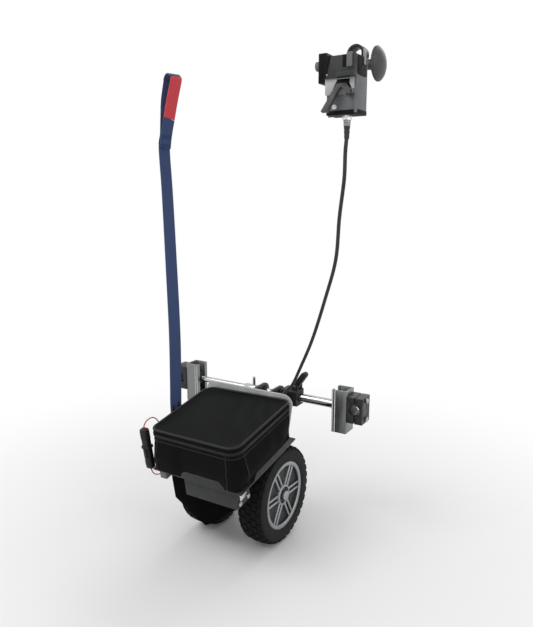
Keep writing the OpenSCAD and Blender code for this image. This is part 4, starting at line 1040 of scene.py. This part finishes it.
def buildBag():
    side, bottom, lidLine, top = bag["side"], bag["bottom"], bag["lidLine"], bag["top"]
    levels = [bottom + bag["levelStep"] * (k + 1) for k in range(bag["levels"])]
    levels.append(lidLine - bag["band"])
    body = openShell("bagBody", bottom, lidLine - bag["bodyGap"], 1, bag["bodyEdge"], levels,
                     bag["bodyCuts"])
    seams = {}  # the upright lines where each round corner is sewn to the flat panels
    feet = []  # where those lines stand on the bag's outline
    for (sx, sy), r in zip(cornerSigns, bag["corners"]):
        edge = bag["front"] if sy > 0 else bag["back"]
        feet += [Vector((sx * (side - r), edge)), Vector((sx * side, edge - sy * r))]
    for i, v in enumerate(body.data.vertices):
        for k, foot in enumerate(feet):
            if (v.co.xy - foot).length < bag["seamNear"]:
                seams.setdefault(k, []).append(i)

    def heldBody(co):
        if co.z > lidLine - bag["heldBand"] or co.z < bottom + bag["heldFoot"]:
            return 1.0
        away = min((co.xy - foot).length for foot in feet)
        return bag["heldSeam"] if away < bag["seamReach"] else 0.0

    settleCloth(body, heldBody, bag["bodyPressure"], bag["bodyWeight"])
    sagWalls(body)
    lines = []
    for members in seams.values():
        path = sorted((body.data.vertices[i].co.copy() for i in members), key=lambda p: p.z)
        lines.append(addTube("bagSeam", path, bag["seam"], rings=2))
    thicken(body, bag["wall"])
    refine(body)
    seatBag(body, "bag_fabric", "drive_unit", "bag_fabric", "bag_body")
    out, down, radius = bag["zipSeam"]
    lines.append(addTube("bagSeam", zipLoop(out, lidLine - down), radius, rings=2))
    sagWalls(lines[-1])
    seatBag(joinPieces("bagSeams", lines), "piping", "drive_unit", "bag_fabric", "bag_body")

    def heldLid(co):
        return 1.0 if co.z < top - bag["heldLid"] else 0.0

    lid = openShell("bagLid", lidLine + bag["lidGap"], top, -1, bag["lidEdge"], [], bag["lidCuts"])
    settleCloth(lid, heldLid, bag["lidPressure"], bag["lidWeight"])
    thicken(lid, bag["wall"])
    refine(lid)
    seatBag(lid, "lid_fabric", "bag_lid", "lid_fabric", "bag_lid")

    pipingLoop = bagLoop(-bag["pipingIn"], top - bag["pipingDown"])
    piping = addTube("lidPiping", pipingLoop, bag["piping"], closed=True)
    seatBag(piping, "piping", "bag_lid", "lid_fabric")
    for name, rides, low, high, shift, inner in zipper["sides"]:
        tape = flatTape(name + "Tape", lidLine + low, lidLine + high)
        seatBag(tape, "zipTape", rides, "bag_fabric")
        teeth = zipTeeth(name + "Teeth", lidLine + inner * zipper["toothShare"], shift)
        seatBag(teeth, "zipTooth", rides, "black_plastic")
    for y in bag["pulls"]:
        seatBag(zipPull(y), "zipTooth", "bag_lid", "black_plastic")
    print("bag: shell, lid, zip and piping")


# battery plug and socket, hanging at the bag's left rear corner, with their red leads
plug = {
    "place": (-0.104, -0.131, 0.1707), "size": (0.014, 0.012), "length": 0.039, "lead": 0.002,
    "steps": 6, "corner": 0.003, "edge": 0.0009, "ribOut": 0.0006, "ribHalf": 0.0009,
    "ribCorner": 0.0032, "ribEdge": 0.0005, "topGap": 0.0003, "joint": 0.001,
    "ribs": (-0.006, -0.010, -0.014, -0.018), "lowRibs": (-1.62, -1.72, -1.82),
    "collar": (0.0082, 0.0072), "collarFrom": 0.0006, "collarTo": 0.0066, "collarEdge": 0.0014,
    "latch": (0.0035, -0.0085, -0.0058), "latchShares": (-1.45, -0.92), "latchEdge": 0.0009,
    "clip": (-0.0803, -0.1287, 0.0865), "bagEnd": (-0.0903, -0.097, 0.1527), "rise": 0.011,
    "inward": 0.034,
    "highShares": [(0, 0.06, 0.57), (0, 0.3, 1), (0, 0.65, 0.95), (0.07, 0.88, 0.48),
        (0.29, 0.97, -0.19), (0.66, 1, -0.71)],
    "lowShares": [(0, -0.08, 0.8), (0.08, -0.12, 1.65), (0.3, 0.14, 2.2), (0.6, 0.66, 2.0),
        (0.84, 0.92, 1.4)]}


def plugBox(name, out, low, high, corner, edge):
    wide, deep = (size / 2 + out for size in plug["size"])
    piece = addBox(name, (-wide, -deep, low), (wide, deep, high))
    bevelEdges(piece, corner, edgeCuts["round"], runsAlong(2))
    softenEdges(piece, edge)
    return piece


def plugShell(name, top, bottom, ribs):
    out, half = plug["ribOut"], plug["ribHalf"]
    pieces = [plugBox(name, 0, bottom, top, plug["corner"], plug["edge"])]
    for z in ribs:
        pieces.append(plugBox("rib", out, z - half, z + half, plug["ribCorner"], plug["ribEdge"]))
    return pieces


def buildPlug():
    length = plug["length"]
    upper = plugShell("batteryPlug", -plug["topGap"], -length + plug["joint"], plug["ribs"])
    wide, deep = plug["collar"]
    upper.append(addBox("plugCollar", (-wide, -deep, -length + plug["collarFrom"]),
                        (wide, deep, -length + plug["collarTo"])))
    softenEdges(upper[-1], plug["collarEdge"], edgeCuts["fine"])
    lowRibs = [share * length for share in plug["lowRibs"]]
    lower = plugShell("batterySocket", -length, -2 * length, lowRibs)
    wide, rear, near = plug["latch"]
    low, high = (share * length for share in plug["latchShares"])
    lower.append(addBox("socketLatch", (-wide, rear, low), (wide, near, high)))
    softenEdges(lower[-1], plug["latchEdge"])
    ends = []
    for pieces, name, node in ((upper, "batteryPlug", "battery_plug"),
                               (lower, "batterySocket", "battery_socket")):
        whole = joinPieces(name, pieces)
        ends.append(whole)
        applyPlace(whole, location=plug["place"])
        leanWithUnit(whole)
        seat(whole, "black_plastic", "drive_unit", "black_plastic", node)

    place, bagEnd, clip = (Vector(plug[key]) for key in ("place", "bagEnd", "clip"))
    foot = place - Vector((0, 0, 2 * length))
    reach = Vector((bagEnd.x - place.x, plug["inward"], plug["rise"]))
    high = [place] + [place + reach * Vector(s) for s in plug["highShares"]] + [bagEnd]
    low = [foot] + [between(foot, clip, s) for s in plug["lowShares"]] + [clip]
    for name, points, end in (("plugLead", high, ends[0]), ("socketLead", low, ends[1])):
        route = smoothRoute([unitFrame @ p for p in reversed(points)], plug["steps"])
        lead = addTube(name, route, plug["lead"] / 2)
        seat(lead, "red_lead", "drive_unit", "red_lead", "battery_leads")


# clamp knob: a mushroom head with fine grip flutes
knob = {
    "place": (0.4133, -0.030, 0.600), "steps": 80, "flutes": 40, "fluteEdge": 0.0005,
    "flute": ((0.0238, -0.0006, 0.0256), (0.0278, 0.0006, 0.0272)), "screwFrom": -0.0183,
    "screwRadius": 0.003, "screwEdge": 0.0004,
    "outline": [(0.0, 0.0), (0.0, 0.0043), (0.0058, 0.0043), (0.0060, 0.0074), (0.0072, 0.0079),
        (0.0150, 0.0086), (0.0186, 0.0122), (0.0215, 0.0188), (0.0228, 0.0243), (0.0240, 0.0263),
        (0.0258, 0.0269), (0.0280, 0.0262), (0.0311, 0.0235), (0.0340, 0.0185), (0.0362, 0.0120),
        (0.0374, 0.0055), (0.0377, 0.0)]}


def buildKnob():
    head = spinRound("clampKnob", knob["outline"], knob["steps"], closed=False)
    flute = addBox("flute", *knob["flute"])
    softenEdges(flute, knob["fluteEdge"])
    repeatRound(flute, knob["flutes"])
    screw = addRod("knobScrew", (knob["screwFrom"], 0, 0), (0.0, 0, 0), knob["screwRadius"])
    softenEdges(screw, knob["screwEdge"])
    whole = joinPieces("clampKnob", [head, flute, screw])
    applyPlace(whole, location=knob["place"])
    smoothBy("hard")
    seat(whole, "knobGrey", "knob", "black_plastic", "clamp_knob")
    print("knob: head, flutes and screw")


# trim of the hand control: pale liner, a black sheet as painted shade of the slot behind the lever,
# covers with a black plate as painted shade under the control, strips, plated connector
control = {
    "liner": [((0.4112, -0.1478, 0.5364), (0.4518, -0.1438, 0.5588)),
        ((0.4112, -0.1567, 0.5579), (0.4518, -0.1476, 0.5588)),
        ((0.4112, -0.1567, 0.5364), (0.4120, -0.1476, 0.5588)),
        ((0.4510, -0.1567, 0.5364), (0.4518, -0.1476, 0.5588))],
    "apron0": ((0.4081, 0.5592), (0.4270, 0.5592), (0.4270, 0.5555), (0.4248, 0.5525),
        (0.4180, 0.5364), (0.4081, 0.5364)),
    "apron1": ((0.4475, 0.5592), (0.4548, 0.5592), (0.4548, 0.5430), (0.4515, 0.5430),
        (0.4475, 0.5500)),
    "wedge": ((0.4076, 0.5605), (0.4112, 0.5605), (0.4182, 0.5905), (0.4076, 0.5905)),
    "prisms": [("recessApron0", "apron0", -0.1577, -0.1562, 0.0003, "linerGrey", "grey_plastic"),
        ("recessApron1", "apron1", -0.1577, -0.1562, 0.0003, "linerGrey", "grey_plastic"),
        ("cheekWedge", "wedge", -0.1618, -0.1600, 0.0004, "slotBlack", "black_plastic")],
    "covers": [
        ("sideCover", (0.4574, -0.1560, 0.5625), (0.4588, -0.1215, 0.5895), 0.004,
         "slotBlack", "black_plastic"),
        ("clampStrap", (0.4578, -0.1350, 0.5790), (0.4598, -0.1275, 0.6015), 0.002,
         "bare_aluminium", "bare_aluminium"),
        # a black plate under the control: painted shade of its underside
        ("controlBase", (0.4078, -0.1516, 0.5086), (0.4584, -0.1172, 0.5150), 0.001,
         "slotBlack", "black_plastic")],
    "boxes": [
        # a black sheet at the back of the recess: painted shade of the slot the lever comes out of
        ("leverSlot", (0.4375, -0.1482, 0.5470), (0.4475, -0.1476, 0.5586), 0.0002,
         "slotBlack", "black_plastic"),
        ("panelStrip0", (0.4440, -0.1632, 0.5725), (0.4528, -0.1606, 0.5925), 0.0005,
         "grey_plastic", "dark_plastic"),
        ("panelStrip1", (0.4375, -0.1622, 0.5735), (0.4440, -0.1606, 0.5900), 0.0005,
         "slotBlack", "dark_plastic")],
    "edge": 0.0003, "cheekEdge": 0.4079, "pivot": (-0.153, 0.554), "hubRadius": 0.0045,
    "hubShares": (0.8, 1.06), "hubFlat": 0.2, "screws": [(0.4125, 0.5640), (0.4305, 0.5640)],
    "screwRadius": 0.0016, "screwFace": -0.1608,
    "screwShares": [(0.0, 0.0), (0.0, 0.8), (0.25, 1.0), (0.6, 0.9), (0.75, 0.45), (0.4, 0.4),
        (0.4, 0.0)],
    "screwSteps": 20, "connector": (0.437, -0.140, 0.510), "connectorSteps": 30,
    "nut": [(0.0, 0.0), (0.0, 0.0064), (0.0006, 0.0073), (0.0034, 0.0075), (0.0039, 0.0068),
        (0.0047, 0.0068), (0.0052, 0.0075), (0.0082, 0.0074), (0.0090, 0.0064), (0.0090, 0.0)],
    "collar": [(0.0088, 0.0), (0.0088, 0.0053), (0.0094, 0.0055), (0.0118, 0.0055),
        (0.0122, 0.0050), (0.0130, 0.0050), (0.0134, 0.0055), (0.0158, 0.0054), (0.0170, 0.0046),
        (0.0170, 0.0)]}


def buildControlTrim():
    walls = []
    for low, high in control["liner"]:
        walls.append(addBox("recessLiner", low, high))
        softenEdges(walls[-1], control["edge"])
    seat(joinPieces("recessLiner", walls), "linerGrey", "carrier", "grey_plastic")
    for name, corners, low, high, edge, finish, slot in control["prisms"]:
        prism = addPrism(name, control[corners], low, high)
        softenEdges(prism, edge)
        seat(prism, finish, "carrier", slot)
    for name, low, high, radius, finish, slot in control["covers"]:
        cover = addBox(name, low, high)
        bevelEdges(cover, radius, edgeCuts["round"], runsAlong(0))
        softenEdges(cover, control["edge"])
        seat(cover, finish, "carrier", slot)
    for name, low, high, edge, finish, slot in control["boxes"]:
        box = addBox(name, low, high)
        softenEdges(box, edge)
        seat(box, finish, "carrier", slot)
    heads = []
    for x, z in control["screws"]:
        head = spinRound("panelScrew", control["screwShares"], control["screwSteps"], closed=False)
        applyPlace(head, scale=[control["screwRadius"]] * 3, rotation_euler=(0, 0, -quarterTurn),
                   location=(x, control["screwFace"], z))
        heads.append(head)
    seat(joinPieces("panelScrews", heads), "darkNickel", "carrier", "bolt_steel")
    for name, key, finish in (("connectorNut", "nut", "nickel"),
                              ("connectorCollar", "collar", "darkNickel")):
        ring = spinRound(name, control[key], control["connectorSteps"], closed=False)
        applyPlace(ring, rotation_euler=(0, quarterTurn, 0), location=control["connector"])
        seat(ring, finish, "carrier", "bare_aluminium", "control_connector")
    print("control: liner, covers, strips, screws and connector")


# small trim: plate and fold on the controller box, collar on the sleeve, beads on the receivers
# whose brighter metal is a painted highlight along the channels' edges
trim = {
    "plate": ((0.0818, -0.1255, 0.0715), (0.0825, -0.1065, 0.0880)), "plateCorner": 0.002,
    "plateEdge": 0.0002, "fold": ((-0.0248, -0.1366, 0.0868), (0.0818, -0.1358, 0.0878)),
    "foldEdge": 0.0003, "beads": (0.0014, 0.0062), "beadRadius": 0.0011, "beadEnd": 0.001,
    "beadSides": 16,
    "collar": [(-0.0052, 0.0061), (-0.0052, 0.0092), (-0.0044, 0.0100), (-0.0010, 0.0100),
        (-0.0002, 0.0092), (-0.0002, 0.0061)],
    "collarSteps": 40}


def buildTrim():
    plate = addBox("blankPlate", *trim["plate"])
    bevelEdges(plate, trim["plateCorner"], edgeCuts["round"], runsAlong(0))
    softenEdges(plate, trim["plateEdge"])
    fold = addBox("boxFold", *trim["fold"])
    softenEdges(fold, trim["foldEdge"])
    for piece, finish, slot in ((plate, "nickel", "bare_aluminium"),
                                (fold, "box_paint", "box_paint")):
        leanWithUnit(piece)
        seat(piece, finish, "drive_unit", slot)
    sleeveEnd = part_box("stop_sleeve")[1].x
    outline = [(sleeveEnd + x, r) for x, r in trim["collar"]]
    collar = spinRound("sleeveCollar", outline, trim["collarSteps"])
    seat(collar, "black_plastic", "carrier", "black_plastic")
    for side, body in (("left", "carrier"), ("right", bodyOf["right_receiver"])):
        low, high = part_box(side + "_receiver")
        bottom, top = low.z + trim["beadEnd"], high.z - trim["beadEnd"]
        beads = []  # two rolled beads beside the channel's mouth, on its front and rear faces, in brighter metal as painted highlight lines
        for inset in trim["beads"]:
            x = high.x - inset if side == "left" else low.x + inset
            for y in (low.y, high.y):
                beads.append(addRod("bead", (x, y, bottom), (x, y, top), trim["beadRadius"],
                                    trim["beadSides"]))
        whole = joinPieces(side + "ReceiverHighlightBeads", beads)
        smoothBy("tube")
        # the beads take the bright nickel as a painted highlight
        seat(whole, "nickel", body, "bare_aluminium")
    print("trim: plate, fold, collar and beads")


# hard parts keep their shape and get rounded edges: the radius of each, in metres
edgeRound = {
    "left_receiver": 0.0006, "right_receiver": 0.0006, "left_saddle": 0.0009,
    "right_saddle": 0.0009, "left_cap": 0.0012, "right_cap": 0.0012, "left_clamp_bolts": 0.0004,
    "right_clamp_bolts": 0.0004, "left_slider": 0.0004, "right_slider": 0.0004,
    "stop_sleeve": 0.0006, "bar_clamp": 0.0018, "bar_lever": 0.0016, "bar_lever_pin": 0.0004,
    "tray": 0.0005, "front_plate": 0.0006, "pivot_bracket": 0.0007, "frame_bolts": 0.0005,
    "controller_box": 0.001, "rear_skirt": 0.0006, "axle_plates": 0.0005, "gearbox_case": 0.0012,
    "gearbox_cover": 0.001, "motor_can": 0.0012, "glands": 0.0007, "control_housing": 0.0014,
    "control_panel": 0.0014, "control_bracket": 0.0009, "handle_clamp": 0.0009,
    "throttle_lever": 0.0022, "speed_dial": 0.0014, "power_button": 0.0006, "wheel_nuts": 0.0009,
    "battery_pack": 0.002}
dressing = {"flatAngle": 1, "largeEdge": 0.0012}


def dressNode(name, edge):
    source = cadNodes[name]
    words = name.split("_")
    piece = source.copy()
    piece.data = source.data.copy()
    piece.name = words[0] + "".join(w.capitalize() for w in words[1:]) + "Dressed"
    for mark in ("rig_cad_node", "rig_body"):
        if mark in piece:
            del piece[mark]
    piece.parent = None
    bpy.context.scene.collection.objects.link(piece)
    activate(piece)
    if piece.data.has_custom_normals:
        bpy.ops.mesh.customdata_custom_splitnormals_clear()
    enterEdit(piece)
    bpy.ops.mesh.remove_doubles(threshold=weldGap)
    bpy.ops.mesh.dissolve_limited(angle_limit=math.radians(dressing["flatAngle"]))
    leaveEdit()
    softenEdges(piece, edge, edgeCuts["fine" if edge > dressing["largeEdge"] else "soft"])
    return seat(piece, slotOf[name], bodyOf[name], slotOf[name], name)


def paintFaces(piece, finish, test):  # the faces that pass the test take a second finish
    piece.data.materials.append(finishes[finish])
    for face in piece.data.polygons:
        face.material_index = 1 if test(face) else 0


def onDialBlock(face):  # the panel's side block, which carries the dial
    return face.center.x < control["cheekEdge"]


def onHub(face):  # the lever's hub, round its pivot, whose faces are painted black as the shade of the slot it comes out of
    away = (face.center.yz - Vector(control["pivot"])).length / control["hubRadius"]
    low, high = control["hubShares"]
    return low < away < high and face.normal.x ** 2 < control["hubFlat"]


buildCable()
buildStrap()
for side in ("left", "right"):
    buildWheel(side)
print("wheels: tyres and rims")
buildBag()
buildPlug()
buildKnob()
buildControlTrim()
buildTrim()
dressed = {name: dressNode(name, edge) for name, edge in edgeRound.items()}
paint(dressed["throttle_lever"], "leverGrey")
# the hub's faces take the near-black as painted shade of the lever's slot
paintFaces(dressed["throttle_lever"], "slotBlack", onHub)
paint(dressed["pivot_bracket"], "black_metal")
# the steel pin is painted near-black as shade, so it doesn't shine in the recess
paint(cadNodes["throttle_pin"], "slotBlack")
paintFaces(dressed["control_panel"], "slotBlack", onDialBlock)
print("dressed:", len(dressed), "hard parts")

bpy.context.view_layer.update()
